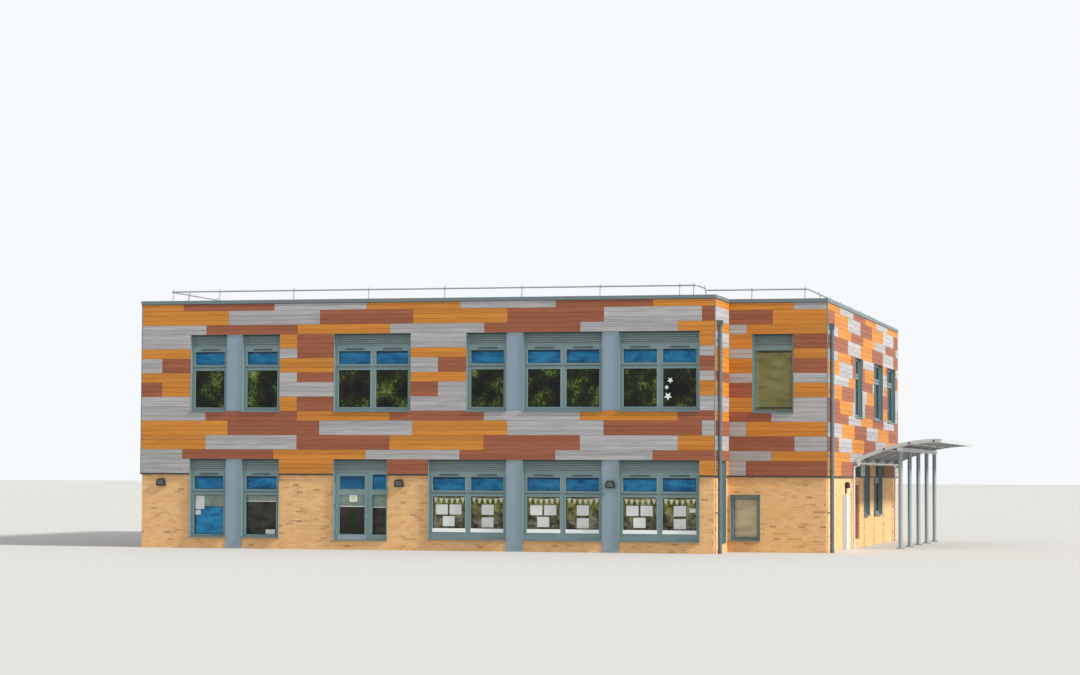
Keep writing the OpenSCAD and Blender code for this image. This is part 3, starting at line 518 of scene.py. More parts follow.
NARROW_UNITS = [(0.553, 0.403, 1), (1.13, 0.413, 1)]
WIDE_UNITS = [(4.163, 0.83, 2), (5.163, 0.83, 2)]
FRONT_GROUND = in_bays(NARROW_UNITS + [(3.163, 0.83, 2)] + WIDE_UNITS, BAY)
FRONT_UPPER = in_bays(NARROW_UNITS + [(2.137, 0.83, 2), (3.563, 0.427, 1)] + WIDE_UNITS, BAY)
CLASS_U, CLASS_W = round(2.14 * BAY, 3), 1.750
RECESS_UPPER, RECESS_LOW = [(0.740, 1.270, 1)], [(0.050, 0.930, 1)]
RETURN_U, RETURN_W = 0.930, 0.900
SIDE_UPPER = in_bays([(2.087, 0.6, 2), (3.703, 0.817, 2), (4.943, 0.8, 2)], SIDE_BAY)
SIDE_GROUND = in_bays([(2.91, 0.417, 1), (3.81, 0.65, 2)], SIDE_BAY)
STORE_U, STORE_W, STORE_TOP = round(2.11 * SIDE_BAY, 3), 1.300, 2.050
REAR_UNITS = spread(5, REAR_L / 5.4, REAR_L)
LEFT_UNITS = spread(3, DEPTH / 3.2, DEPTH)
CLASS_DOOR, RETURN_DOOR, STORE = (CLASS_U, CLASS_W, 1), (RETURN_U, RETURN_W, 1), (STORE_U, STORE_W, 1)
FRAME_W, MULLION_W = 0.120, 0.190
TOP_LIGHT_H, TRANSOM_H, VENT_H, LOUVRE_H, HEAD_BAR = 0.410, 0.180, 0.165, 0.340, 0.030
LOUVRE_FOOT_G = HEAD_G - HEAD_BAR - LOUVRE_H
LOUVRE_FOOT_U = HEAD_U - HEAD_BAR - LOUVRE_H


def rows_under(top, bottom):
    """Heights of the lower pane and of the top light under a head."""
    return [(bottom, top - TOP_LIGHT_H - TRANSOM_H), (top - TOP_LIGHT_H, top)]


def panes_of(units, rows, side=FRAME_W):
    """Rectangles (start, end, foot, head) of all the panes of some units."""
    result = []
    for start, width, count in units:
        clear = (width - 2 * side - (count - 1) * MULLION_W) / count
        for i in range(count):
            u = start + side + i * (clear + MULLION_W)
            result += [(u, u + clear, foot, head) for foot, head in rows]
    return result


def rectangles(units, foot, head):
    """Rectangles (start, end, foot, head) of some units between two heights."""
    return [(u, u + w, foot, head) for u, w, count in units]


def grown(panes, side, foot, head):
    """Rectangles made larger by a margin at their sides, foot and head."""
    return [(a - side, b + side, c - foot, d + head) for a, b, c, d in panes]


def span(first, last):
    """The stretch from the start of one unit to the end of another."""
    return first[0], last[0] + last[1] - first[0], 1


ROWS_SINGLE = rows_under(LOUVRE_FOOT_G - VENT_H, LOW_SILL + 0.065)
ROWS_DOUBLE = rows_under(LOUVRE_FOOT_G - VENT_H, LOW_SILL + 0.320)
ROWS_UPPER = rows_under(LOUVRE_FOOT_U - VENT_H, SILL_U + 0.115)
ROWS_RECESS = [(SILL_U + 0.060, LOUVRE_FOOT_U - 0.130)]
ROWS_RECESS_LOW = [(LOW_SILL + 0.065, RECESS_HEAD - 0.130)]
ROWS_SIDE_UPPER = rows_under(HEAD_SIDE - 0.090, SILL_U + 0.090)
ROWS_SIDE_GROUND = rows_under(HEAD_G - 0.090, SIDE_SILL + 0.090)
ROWS_STORE = [(BRICK_TOP + 0.060, HEAD_G - 0.060)]
PANES = {
    "front": panes_of(FRONT_GROUND[:2], ROWS_SINGLE) + panes_of(FRONT_GROUND[2:], ROWS_DOUBLE)
        + panes_of(FRONT_UPPER, ROWS_UPPER),
    "recess": panes_of(RECESS_UPPER, ROWS_RECESS, 0.070) + panes_of(RECESS_LOW, ROWS_RECESS_LOW, 0.100),
    "side": panes_of(SIDE_UPPER, ROWS_SIDE_UPPER) + panes_of(SIDE_GROUND, ROWS_SIDE_GROUND)
        + panes_of([STORE], ROWS_STORE),
    "rear": panes_of(REAR_UNITS, ROWS_SIDE_UPPER) + panes_of(REAR_UNITS, ROWS_SIDE_GROUND),
    "left": panes_of(LEFT_UNITS, ROWS_SIDE_UPPER) + panes_of(LEFT_UNITS, ROWS_SIDE_GROUND),
}

# Gaps in the boards of each wall: (start, end, foot, head)
OPENINGS = {
    "front": rectangles([span(FRONT_GROUND[0], FRONT_GROUND[1]), CLASS_DOOR,
        span(FRONT_GROUND[2], FRONT_GROUND[4])], 0, HEAD_G)
        + rectangles([span(FRONT_UPPER[0], FRONT_UPPER[1]), FRONT_UPPER[2],
        span(FRONT_UPPER[3], FRONT_UPPER[5])], SILL_U, HEAD_U),
    "recess": rectangles(RECESS_UPPER, SILL_U, HEAD_U),
    "return": rectangles([RETURN_DOOR], 0, HEAD_G),
    "side": rectangles(SIDE_UPPER, SILL_U, HEAD_SIDE) + rectangles(SIDE_GROUND + [STORE], 0, HEAD_G),
    "rear": rectangles(REAR_UNITS, SILL_U, HEAD_SIDE) + rectangles(REAR_UNITS, 0, HEAD_G),
    "left": rectangles(LEFT_UNITS, SILL_U, HEAD_SIDE) + rectangles(LEFT_UNITS, 0, HEAD_G),
}

# Boards: courses of 150 mm in blocks of one colour that are one board long, from the coping down
COURSE = 0.150
BOARD_L = 3.027
GROOVE = 0.005
BOARD_T = 0.010
ARRIS = 0.002
BOARD_TOP = HEAD_G + 33 * COURSE
TRIM_H = 0.035
BLOCK_COURSES = [2, 3, 2, 3, 2, 3, 2, 3, 3, 2, 3, 3, 2, 3]
# Each block row: distance of its first joint from the right end, and its colours from right to left
FRONT_ROWS = [(1.91, "obgogbo"), (0.40, "bgbobgo"), (1.14, "ogbgobg"), (1.14, "obogbog"), (1.14, "gboobgo"),
    (2.616, "bgbgobg"), (1.14, "gboobgo"), (2.616, "obgbgob"), (1.14, "gobgbog"), (1.14, "bogbobg"),
    (0.40, "gbgogbo"), (1.14, "ogbobgo"), (1.91, "bgbgobg"), (5.0, "obbogg")]
# The other walls: joints from the left end, and colours from left to right
RECESS_ROWS = [([2.03], "og"), ([1.37], "bo"), ([0.56], "go"), ([1.37], "ob"), ([1.37], "go"), ([1.37], "ob"),
    ([], "g"), ([1.37], "bo"), ([1.37], "og"), ([1.33], "bg"), ([0.54], "go"), ([2.04], "bg"), ([1.33], "go"),
    ([0.54], "gb")]
RETURN_ROWS = [([], c) for c in "ogogoobogobgbo"]
SIDE_ROWS = [(2.77, "ogbogo"), (1.53, "bogbog"), (2.23, "gobogb"), (1.50, "bbgobg"), (2.23, "gobgob"),
    (2.60, "ogbogb"), (1.68, "ggobgo"), (3.10, "obgobg"), (2.67, "bogbog"), (1.67, "bbgobg"),
    (3.10, "gobgob"), (2.45, "bgobgo"), (2.10, "oogbog"), (2.92, "obgobg")]


def long_rows(rows, length, shift=0.0, mirrored=False):
    """Joints and colours of the rows of a long wall, from its left end. Mirrored rows start at the right."""
    result = []
    for offset, pattern in rows:
        first = offset + shift
        joints = [first + i * BOARD_L for i in range(math.ceil((length - first) / BOARD_L))]
        colours = [pattern[i % len(pattern)] for i in range(len(joints) + 1)]
        if mirrored:
            joints = [length - joint for joint in reversed(joints)]
            colours.reverse()
        result.append((joints, colours))
    return result


BOARD_ROWS = {
    "front": long_rows(FRONT_ROWS, FRONT_L, mirrored=True),
    "recess": RECESS_ROWS,
    "return": RETURN_ROWS,
    "side": long_rows(SIDE_ROWS, SIDE_L),
    "rear": long_rows(FRONT_ROWS, REAR_L, 0.35),
    "left": long_rows(SIDE_ROWS, DEPTH, 0.2, mirrored=True),
}
BOARD_COLOURS = {"o": ORANGE, "b": BROWN, "g": GREY}
COLOUR_KEYS = "obg"


def board_sheet(wall):
    """One plate over a wall, cut along its courses, joints and openings, with the openings taken out."""
    start = BOARD_T if wall == "recess" else 0.0
    length, openings = LENGTHS[wall], OPENINGS[wall]
    piece = begin("cladding_" + wall)
    plate(start, length, BRICK_TOP + TRIM_H, WALL_TOP, 0)
    for i in range(1, sum(BLOCK_COURSES)):
        bpy.ops.mesh.select_all(action="SELECT")
        bpy.ops.mesh.bisect(plane_co=(0, 0, BOARD_TOP - i * COURSE), plane_no=(0, 0, 1))
    cuts, bands, top = [], [], BOARD_TOP
    for courses, (joints, colours) in zip(BLOCK_COURSES, BOARD_ROWS[wall]):
        foot = top - courses * COURSE
        bands.append((foot, joints, colours))
        cuts += [(u, foot, top) for u in joints if start < u < length]
        top = foot
    for u0, u1, foot, head in openings:
        cuts += [(u0, foot, head), (u1, foot, head)]
    for u, foot, head in cuts:
        select(piece, lambda f: foot < face_middle(f).z < head)
        bpy.ops.mesh.bisect(plane_co=(u, 0, 0), plane_no=(1, 0, 0))
    select(piece, lambda f: any(u0 < face_middle(f).x < u1 and foot < face_middle(f).z < head
        for u0, u1, foot, head in openings))
    bpy.ops.mesh.delete(type="FACE")
    return piece, bands


def clad(wall):
    """Boards on one wall, each with a groove round it, a colour and a tone."""
    piece, bands = board_sheet(wall)
    bpy.ops.mesh.select_all(action="SELECT")
    bpy.ops.mesh.inset(thickness=GROOVE / 2, use_individual=True, use_boundary=True)
    bpy.ops.mesh.select_all(action="INVERT")
    bpy.ops.mesh.delete(type="FACE")
    thicken(BOARD_T)
    select(piece, lambda e: all(v.co.y < -BOARD_T / 2 for v in e.verts), "EDGE")
    bpy.ops.mesh.bevel(offset=ARRIS, segments=1, affect="EDGES")
    bpy.ops.object.mode_set(mode="OBJECT")
    for key in COLOUR_KEYS:
        piece.data.materials.append(BOARD_COLOURS[key])
    tone = piece.data.attributes.new("tone", "FLOAT", "FACE")
    for polygon in piece.data.polygons:
        u, z = polygon.center.x, polygon.center.z
        course = math.floor((BOARD_TOP - z) / COURSE)
        foot, joints, colours = next((band for band in bands if band[0] <= z), bands[-1])
        block_at = sum(joint < u for joint in joints)
        polygon.material_index = COLOUR_KEYS.index(colours[block_at])
        tone.data[polygon.index].value = random.Random(f"{wall} {course} {block_at}").random()
    finish(piece, wall, None)


for wall in WALLS:
    clad(wall)


# Metal trims: outer corners of the boards, their foot, and the joint straps of the coping
def corner_trims():
    """Folded angles over the ends of the boards at the outer corners."""
    leg, out = 0.020, BOARD_T + 0.002
    for wall, u in (("front", 0), ("front", FRONT_L), ("recess", STEP_W), ("rear", 0), ("rear", REAR_L)):
        piece = begin(f"corner_trim_{wall}_{'right' if u else 'left'}")
        low, high = (u - leg, u + out) if u else (-out, leg)
        block((low, -out, BRICK_TOP), (high, leg, WALL_TOP))
        finish(piece, wall, COPING_PAINT, edge=0.002)


def foot_trims():
    """A drip under the lowest board, between the openings that run down through it, dark as painted shade of
    the shadow line beneath the boards.
    """
    out, low, high = 0.004, 0.012, 0.010
    for wall in WALLS:
        stops = sorted(rectangle for rectangle in OPENINGS[wall] if rectangle[2] == 0)
        starts = [0.0] + [stop[1] for stop in stops]
        ends = [stop[0] for stop in stops] + [LENGTHS[wall]]
        piece = begin("board_foot_trim_" + wall)
        for a, b in zip(starts, ends):
            block((a, -BOARD_T - out, BRICK_TOP - low), (b, CLAD_T, BRICK_TOP + TRIM_H - high))
        finish(piece, wall, SHADOW_METAL, edge=0.003)


def coping_straps():
    """Butt straps about every 3 m, and a drip under the outer edge of the coping, dark as painted shade of
    its lower edge.
    """
    low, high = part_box("roof_coping")
    pitch, half_w, lap, drip_out = 3.0, 0.050, 0.003, 0.022
    for wall in WALLS:
        length = LENGTHS[wall]
        count = max(1, int(length / pitch))
        straps = begin("coping_straps_" + wall)
        for i in range(count):
            u = (i + 0.5) * length / count
            block((u - half_w, -0.032, low.z + 0.004), (u + half_w, WALL_T + 0.028, high.z + lap))
        finish(straps, wall, COPING_PAINT, edge=0.002)
        # The drip's dark colour is painted shade under the edge of the coping
        drip = begin("coping_drip_" + wall)
        block((-drip_out, -0.024, WALL_TOP - 0.016), (length + drip_out, -0.004, WALL_TOP + 0.002))
        finish(drip, wall, SHADOW_METAL, edge=0.002)


corner_trims()
foot_trims()
coping_straps()

# Windows
SASH_W, SASH_OUT = 0.036, 0.014
GASKET_W, GASKET_OUT, GASKET_V = 0.012, 0.005, REVEAL + 0.022
GLASS_T, GLASS_V = 0.024, REVEAL + 0.047
# Cloths reach past the panes by an overlap, and the nearest ones hang just behind the frames
CLOTH_T, CARD_T, OVERLAP = 0.002, 0.001, 0.030
BEHIND = FRAME_BACK + 0.012


def rings(name, wall, panes, outer, raise_by, material, v=REVEAL, body="building", edge=0.004):
    """A raised ring round each pane."""
    piece = begin(name)
    for rectangle in grown(panes, outer, outer, outer):
        plate(*rectangle, v)
    open_frames(outer, raise_by)
    return finish(piece, wall, material, body, edge)


def glazing(name, wall, panes, material):
    """Sealed units 24 mm thick with polished edges."""
    piece = begin(name)
    for rectangle in panes:
        plate(*rectangle, GLASS_V)
    thicken(GLASS_T)
    return finish(piece, wall, material, edge=0.002)


def is_top_light(pane):
    """Whether a pane is one of the low top lights."""
    return pane[3] - pane[2] < TOP_LIGHT_H + 0.01


for wall, panes in PANES.items():
    rings("window_sashes_" + wall, wall, panes, SASH_W, SASH_OUT, FRAME_PAINT)
    inner = grown(panes, -GASKET_W, -GASKET_W, -GASKET_W)
    rings("window_gaskets_" + wall, wall, inner, GASKET_W, GASKET_OUT, DARK_METAL, GASKET_V, edge=0.001)

# The side light of the classroom door, between its mullion and the far jamb
SIDE_MULLION_W, SIDE_JAMB_W = 0.140, 0.070
SIDE_LIGHT_U = CLASS_U + JAMB + 2 * LEAF_GAP + CLASS_LEAF_W + SIDE_MULLION_W
SIDE_LIGHT_END = CLASS_U + CLASS_W - SIDE_JAMB_W
ROWS_SIDE_LIGHT = [(FLOOR_Z + 0.190, LOCK_RAIL[0]), (LOCK_RAIL[1], FLOOR_Z + 2.046)]
SIDE_LIGHTS = [(SIDE_LIGHT_U, SIDE_LIGHT_END, foot, head) for foot, head in ROWS_SIDE_LIGHT]
display_panes = panes_of(FRONT_GROUND[2:], ROWS_DOUBLE[:1])
narrow_panes = panes_of(FRONT_GROUND[:2], ROWS_SINGLE[:1]) + SIDE_LIGHTS[:1]
top_panes = [pane for pane in PANES["front"] if is_top_light(pane)]
blind_panes = top_panes + SIDE_LIGHTS[1:]
garden_panes = [pane for pane in PANES["front"] if pane not in display_panes + narrow_panes + top_panes]
front_glazing = [glazing("glass_front_low", "front", garden_panes, GLASS_LOW),
    glazing("glass_front_display", "front", display_panes + narrow_panes, GLASS_CLEAR),
    glazing("glass_front_top", "front", blind_panes, GLASS_TOP),
    glazing("glass_recess", "recess", PANES["recess"], GLASS_CLEAR)]
for piece in front_glazing:
    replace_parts(piece, "front_glass")
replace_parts(glazing("glass_side", "side", PANES["side"], GLASS_BACK), "right_glass")
for wall in ("rear", "left"):
    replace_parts(glazing("glass_" + wall, wall, PANES[wall], GLASS_BACK), "back_glass")


def hang(name, wall, cloths, material, v):
    """Thin cloths that hang behind the panes, from the frames."""
    piece = begin(name)
    wide = grown(cloths, OVERLAP, 0, 0)
    for rectangle in wide:
        plate(*rectangle, v)
    thicken(CLOTH_T)
    finish(piece, wall, material)


def roller_blinds():
    """Blue blinds behind the top lights, each hung from a box whose dark navy paints the shade at the head of
    the pane.
    """
    front, back, low, high = FRAME_BACK + 0.001, FRAME_BACK + 0.009, 0.060, 0.040
    hang("roller_blinds", "front", grown(blind_panes, 0, OVERLAP, high), BLIND_BLUE, BEHIND)
    # Real headboxes, made dark so that they paint the shade at the head of each top light
    piece = begin("blind_boxes")
    for u0, u1, foot, head in grown(blind_panes, OVERLAP, 0, 0):
        block((u0, front, head - low), (u1, back, head + high))
    finish(piece, "front", NAVY_BLIND_BOX_SHADE, edge=0.002)


def half_blinds():
    """Blinds let down a short way behind the narrow panes, with white bars, a low blue blind, and dark sheets
    behind them that paint the shade of the room.
    """
    drops = (0.370, 0.180, 0.370)
    cloths = [(a, b, d - drop, d + OVERLAP) for (a, b, c, d), drop in zip(narrow_panes, drops)]
    hang("half_blinds", "front", cloths, SCREEN_GREY, BEHIND)
    bars = begin("half_blind_bars")
    front, back, bar_out, bar_h = FRAME_BACK + 0.004, FRAME_BACK + 0.018, 0.020, 0.030
    for (u0, u1, foot, head), drop in zip(narrow_panes[1:], drops[1:]):
        block((u0 - bar_out, front, head - drop - bar_h), (u1 + bar_out, back, head - drop))
    finish(bars, "front", PAPER, edge=0.003)
    left, right, foot, head = narrow_panes[0]
    low_blind = (left + 0.050, right, foot - OVERLAP, head - 0.390)
    hang("low_blue_blind", "front", [low_blind], BLIND_BLUE, FRAME_BACK + 0.020)
    # Dark sheets as painted shade of the room behind the narrow panes
    hang("painted_room_shade_sheets", "front", grown(narrow_panes, 0, OVERLAP, OVERLAP), ROOM_SHADE_CLOTH, FRAME_BACK + 0.040)


def sash_bars_painting_shade():
    """A weather bar under the top-hung sash of each top light, dark as painted shade of the gap beneath it.
    """
    side, out, low, high = 0.060, 0.020, 0.094, 0.074
    for wall in ("front", "side", "rear", "left"):
        piece = begin("sash_bars_painting_shade_" + wall)
        for u0, u1, foot, head in filter(is_top_light, PANES[wall]):
            block((u0 - side, REVEAL - out, foot - low), (u1 + side, REVEAL, foot - high))
        finish(piece, wall, VENT_PAINT, edge=0.003)


def trickle_vents():
    """Trickle vents on the frame over the top lights of the front."""
    longest, margin, out, low, high = 0.60, 0.05, 0.034, 0.045, 0.085
    piece = begin("trickle_vents")
    for u0, u1, foot, head in top_panes:
        middle, half = (u0 + u1) / 2, min(longest / 2, (u1 - u0) / 2 - margin)
        block((middle - half, REVEAL - out, head + low), (middle + half, REVEAL, head + high))
    finish(piece, "front", VENT_PAINT, edge=0.006)


def recess_blinds():
    """Screens behind the two panes of the recess, and over the upper one a blind with a bar at each end."""
    upper, low = PANES["recess"]
    screen_v, blind_v = BEHIND + 0.030, BEHIND + 0.010
    hang("recess_screen_upper", "recess", grown([upper], 0, OVERLAP, OVERLAP), SCREEN_GREEN, screen_v)
    hang("recess_screen_low", "recess", grown([low], 0, OVERLAP, OVERLAP), SCREEN_BUFF, screen_v)
    u0, u1, foot, head = upper
    hang("recess_blind_upper", "recess", [(u0 + 0.125, u1, foot + 0.090, head - 0.050)], BLIND_OLIVE, blind_v)
    bars = begin("recess_blind_bars")
    start, end, front = u0 + 0.085, u1 - 0.020, BEHIND - 0.004
    block((start, front, foot + 0.060), (end, BEHIND + 0.016, foot + 0.095))
    block((start, front, head - 0.060), (end, BEHIND + 0.026, head - 0.030))
    finish(bars, "recess", DARK_METAL, edge=0.004)


def painted_head_shade_flashings():
    """A dark flashing under the head of each opening in the two fronts, which paints the shade that the head
    casts below it.
    """
    gap, out, low, high = 0.005, 0.018, 0.036, 0.004
    heads = {
        "front": [(unit, HEAD_G) for unit in FRONT_GROUND + [CLASS_DOOR]]
            + [(unit, HEAD_U) for unit in FRONT_UPPER],
        "recess": [(unit, HEAD_U) for unit in RECESS_UPPER]}
    for wall, units in heads.items():
        piece = begin("painted_head_shade_flashings_" + wall)
        for (start, width, count), head in units:
            block((start + gap, REVEAL - out, head - low), (start + width - gap, REVEAL, head - high))
        finish(piece, wall, SHADOW_METAL, edge=0.003)


def reveal_linings():
    """Pressed metal linings round the window and door openings."""
    metal_t, lip = 0.004, 0.003
    lined = {
        "front": rectangles(FRONT_GROUND, LOW_SILL, HEAD_G) + rectangles([CLASS_DOOR], FLOOR_Z, HEAD_G)
            + rectangles(FRONT_UPPER, SILL_U, HEAD_U),
        "recess": rectangles(RECESS_UPPER, SILL_U, HEAD_U) + rectangles(RECESS_LOW, LOW_SILL, RECESS_HEAD),
        "return": rectangles([RETURN_DOOR], FLOOR_Z, HEAD_G),
        "side": rectangles(SIDE_UPPER, SILL_U, HEAD_SIDE) + rectangles(SIDE_GROUND, SIDE_SILL, HEAD_G)
            + rectangles([STORE], BRICK_TOP, HEAD_G),
        "rear": rectangles(REAR_UNITS, SILL_U, HEAD_SIDE),
        "left": rectangles(LEFT_UNITS, SILL_U, HEAD_SIDE)}
    for wall, openings in lined.items():
        piece = begin("reveal_linings_" + wall)
        for rectangle in openings:
            plate(*rectangle, REVEAL)
        open_frames(metal_t, REVEAL + BOARD_T + lip)
        finish(piece, wall, FRAME_PAINT, edge=0.001)


def low_panels():
    """A pale strip under the glass of the wide windows, and the display cloths behind it."""
    side, out, low, high = 0.010, 0.022, 0.120, 0.005
    strips = begin("low_panel_strips")
    for u0, u1, foot, head in display_panes:
        block((u0 - side, REVEAL - out, foot - low), (u1 + side, REVEAL, foot - high))
    finish(strips, "front", PAPER, edge=0.004)
    hang("display_cloths", "front", grown(display_panes, 0, OVERLAP, OVERLAP), DISPLAY, FRAME_BACK + 0.030)


roller_blinds()
half_blinds()
sash_bars_painting_shade()
trickle_vents()
recess_blinds()
painted_head_shade_flashings()
reveal_linings()
low_panels()


# Cards, stars and flags at the panes of the front
def window_cards():
    """Sheets of card stuck to the inside of the panes, each a little curled."""
    card_w, card_h, card_v, curl = 0.380, 0.310, REVEAL + 0.052, 0.006
    # From the middle and the foot of a pane
    three, two = [(-0.43, 0.42), (0.01, 0.42), (-0.21, 0.06)], [(-0.19, 0.42), (-0.19, 0.03)]
    cards = []
    for i, (u0, u1, foot, head) in enumerate(display_panes):
        middle = (u0 + u1) / 2
        cards += [(middle + shift, foot + up, card_w, card_h) for shift, up in (two if i % 2 else three)]
    left, right = narrow_panes[:2]
    last = display_panes[-1]
    # Odd sheets, each with its start, foot, width and height
    cards += [(left[0] + 0.020, left[3] - 0.450, 0.300, 0.420),
        (left[0] + 0.020, left[3] - 0.630, 0.180, 0.150),
        (right[1] - 0.360, right[2] + 0.010, 0.310, 0.150),
        (last[1] - 0.220, last[3] - 0.450, 0.190, 0.130)]
    piece = begin("window_cards")
    for u, z, width, height in cards:
        plate(u, u + width, z, z + height, card_v)
        bpy.ops.mesh.subdivide(number_cuts=3)
    mesh = bmesh.from_edit_mesh(piece.data)
    for vertex in mesh.verts:
        vertex.co.y += curl * math.sin(vertex.co.z * 9 + vertex.co.x * 3) + curl
    bmesh.update_edit_mesh(piece.data)
    thicken(CARD_T)
    finish(piece, "front", PAPER)


def paper_stars():
    """Three stars cut from card, stuck one over another on the last upper pane."""
    piece = begin("paper_stars")
    left, right, foot, head = garden_panes[-1]
    # How far a star is cut in between its points, and each one's place from the corner of the pane and size
    inner_share = 0.45
    for shift, up, size in ((0.220, 0.800, 0.100), (0.110, 0.590, 0.075), (0.150, 0.320, 0.130)):
        centre = Vector((left + shift, REVEAL + 0.022, foot + up))
        bpy.ops.mesh.select_all(action="DESELECT")
        bpy.ops.mesh.primitive_circle_add(vertices=10, radius=size, fill_type="NGON", location=centre,
            rotation=FACING_OUT)
        mesh = bmesh.from_edit_mesh(piece.data)
        points = [vertex for vertex in mesh.verts if vertex.select]
        for vertex in points[::2]:
            vertex.co = centre + (vertex.co - centre) * inner_share
        bmesh.update_edit_mesh(piece.data)
    thicken(CARD_T)
    finish(piece, "front", PAPER)


def bunting():
    """Triangular flags in a slack row across each pane."""
    piece = begin("bunting")
    flag_w, flag_h, flag_v, sag, below_head = 0.145, 0.165, REVEAL + 0.050, 0.045, 0.020
    # Flags hang at least 4 % of their width apart
    least_pitch = flag_w * 1.04
    # The foot of a flag as a share of the width of its head
    foot_share = 0.12
    for u0, u1, foot, head in display_panes:
        count = int((u1 - u0) / least_pitch)
        for i in range(count):
            middle = u0 + (i + 0.5) * (u1 - u0) / count
            along = 2 * (middle - u0) / (u1 - u0) - 1
            top = head - below_head - sag * (1 - along * along)
            plate(middle - flag_w / 2, middle + flag_w / 2, top - flag_h, top, flag_v)
            mesh = bmesh.from_edit_mesh(piece.data)
            for vertex in mesh.verts:
                if vertex.select and vertex.co.z < top - flag_h / 2:
                    vertex.co.x = middle + (vertex.co.x - middle) * foot_share
            bmesh.update_edit_mesh(piece.data)
    thicken(CARD_T)
    finish(piece, "front", BUNTING)


window_cards()
paper_stars()
bunting()


# Tubes
def tube(name, paths, diameter, sides=12):
    """Round tubes along some paths, as one mesh object that is selected and active."""
    curve = bpy.data.curves.new(name, "CURVE")
    curve.dimensions = "3D"
    curve.bevel_depth = diameter / 2
    curve.bevel_resolution = sides // 4
    curve.use_fill_caps = True
    for path in paths:
        spline = curve.splines.new("POLY")
        spline.points.add(len(path) - 1)
        for point, place in zip(spline.points, path):
            point.co = (*place, 1)
    obj = bpy.data.objects.new(name, curve)
    bpy.context.scene.collection.objects.link(obj)
    bpy.ops.object.select_all(action="DESELECT")
    obj.select_set(True)
    bpy.context.view_layer.objects.active = obj
    bpy.ops.object.convert(target="MESH")
    obj = bpy.context.object
    bpy.ops.object.shade_smooth_by_angle(angle=SMOOTH_ANGLE)
    return obj


def join(name, parts, wall, material):
    """Joins some objects into one piece and finishes it."""
    bpy.ops.object.select_all(action="DESELECT")
    for part in parts:
        part.select_set(True)
    bpy.context.view_layer.objects.active = parts[0]
    bpy.ops.object.join()
    piece = bpy.context.object
    piece.name = piece.data.name = name
    piece.data.materials.clear()
    return finish(piece, wall, material)


# Guard rail: it keeps 0.7 m inside the walls, on posts that lean inwards and stand on weighted feet
RAIL_IN, RAIL_D, POST_D, BEND_R = 0.700, 0.048, 0.042, 0.060
RAIL_TOP = 8.116
RAIL_MID = (ROOF_Z + RAIL_TOP) / 2
RAIL_PITCH, FIRST_POST, FOOT_W, FOOT_OUT, FOOT_H = 2.480, 0.520, 0.400, 0.300, 0.060
# Radius and length of the sockets on the feet and of the clamps round the tubes
SOCKET_R, SOCKET_L, CLAMP_R, CLAMP_L = 0.034, 0.050, 0.031, 0.090
LINE_END = RAIL_IN + BEND_R
CORNER_POST = LINE_END + RAIL_D / 2
RAKE = math.tan(math.radians(10))


def rail_line(z):
    """Distance of a tube or post from the face of the wall at a height."""
    return RAIL_IN - (RAIL_TOP - z) * RAKE


def guard_rail(name, node_name, wall, start, end, posts, bent=True):
    """One run of both tubes with its posts, bent round the corner of the roof at its start."""
    paths = []
    for z in (RAIL_MID, RAIL_TOP):
        v = rail_line(z)
        radius = LINE_END - v
        turns = [math.radians(10 * i) for i in range(9)] if bent else []
        bend = [Vector((LINE_END - radius * math.cos(a), LINE_END - radius * math.sin(a), z)) for a in turns]
        paths.append(bend + [Vector((start, v, z)), Vector((end, v, z))])
    rails = tube("rails", paths, RAIL_D)
    top, low = RAIL_TOP + 0.075, ROOF_Z + 0.010
    uprights = tube("uprights", [[Vector((u, rail_line(z), z)) for z in (low, top)] for u in posts], POST_D)
    feet = begin("feet")
    socket_z = ROOF_Z + FOOT_H + SOCKET_L / 2
    for u in posts:
        block((u - FOOT_W / 2, RAIL_IN - FOOT_OUT, ROOF_Z),
            (u + FOOT_W / 2, RAIL_IN + FOOT_W - FOOT_OUT, ROOF_Z + FOOT_H))
        disc((u, rail_line(socket_z), socket_z), SOCKET_R, SOCKET_L, "z", 16)
        for z in (RAIL_MID, RAIL_TOP):
            disc((u, rail_line(z), z), CLAMP_R, CLAMP_L, "u", 16)
    bpy.ops.object.mode_set(mode="OBJECT")
    ease(feet, 0.006)
    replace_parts(join(name, [rails, uprights, feet], wall, STEEL), node_name)


def pitched(first, last):
    """Places of the posts at their pitch, from the first up to a limit."""
    return [first + i * RAIL_PITCH for i in range(int((last - first) / RAIL_PITCH) + 1)]


RETURN_END, RECESS_START, RECESS_POST = STEP_D - 0.170, -0.850, round(STEP_W * 0.572, 3)
LIMITS = {wall: LENGTHS[wall] - 2 * RAIL_IN - FOOT_W for wall in ("front", "side", "rear", "left")}
guard_rail("front_guard_rail_tubes", "front_guard_rail", "front", LINE_END, FRONT_L - LINE_END,
    [CORNER_POST, FRONT_L - CORNER_POST]
    + [FRONT_L - RAIL_IN - u for u in pitched(FIRST_POST, LIMITS["front"])])
guard_rail("return_guard_rail_tubes", "step_guard_rail", "return", LINE_END, RETURN_END,
    [RETURN_END - RAIL_D / 2])
guard_rail("recess_guard_rail_tubes", "step_guard_rail", "recess", RECESS_START, STEP_W - LINE_END,
    [STEP_W - RAIL_IN - RECESS_POST, STEP_W - CORNER_POST], bent=False)
guard_rail("right_guard_rail_tubes", "right_guard_rail", "side", LINE_END, SIDE_L - LINE_END,
    [RAIL_IN + u for u in pitched(RAIL_PITCH, LIMITS["side"])])
guard_rail("rear_guard_rail_tubes", "rear_guard_rail", "rear", LINE_END, REAR_L - LINE_END,
    [REAR_L - CORNER_POST] + [RAIL_IN + u for u in pitched(CORNER_POST - RAIL_IN, LIMITS["rear"])])
guard_rail("left_guard_rail_tubes", "left_guard_rail", "left", LINE_END, DEPTH - LINE_END,
    [RAIL_IN + u for u in pitched(RAIL_PITCH, LIMITS["left"])])

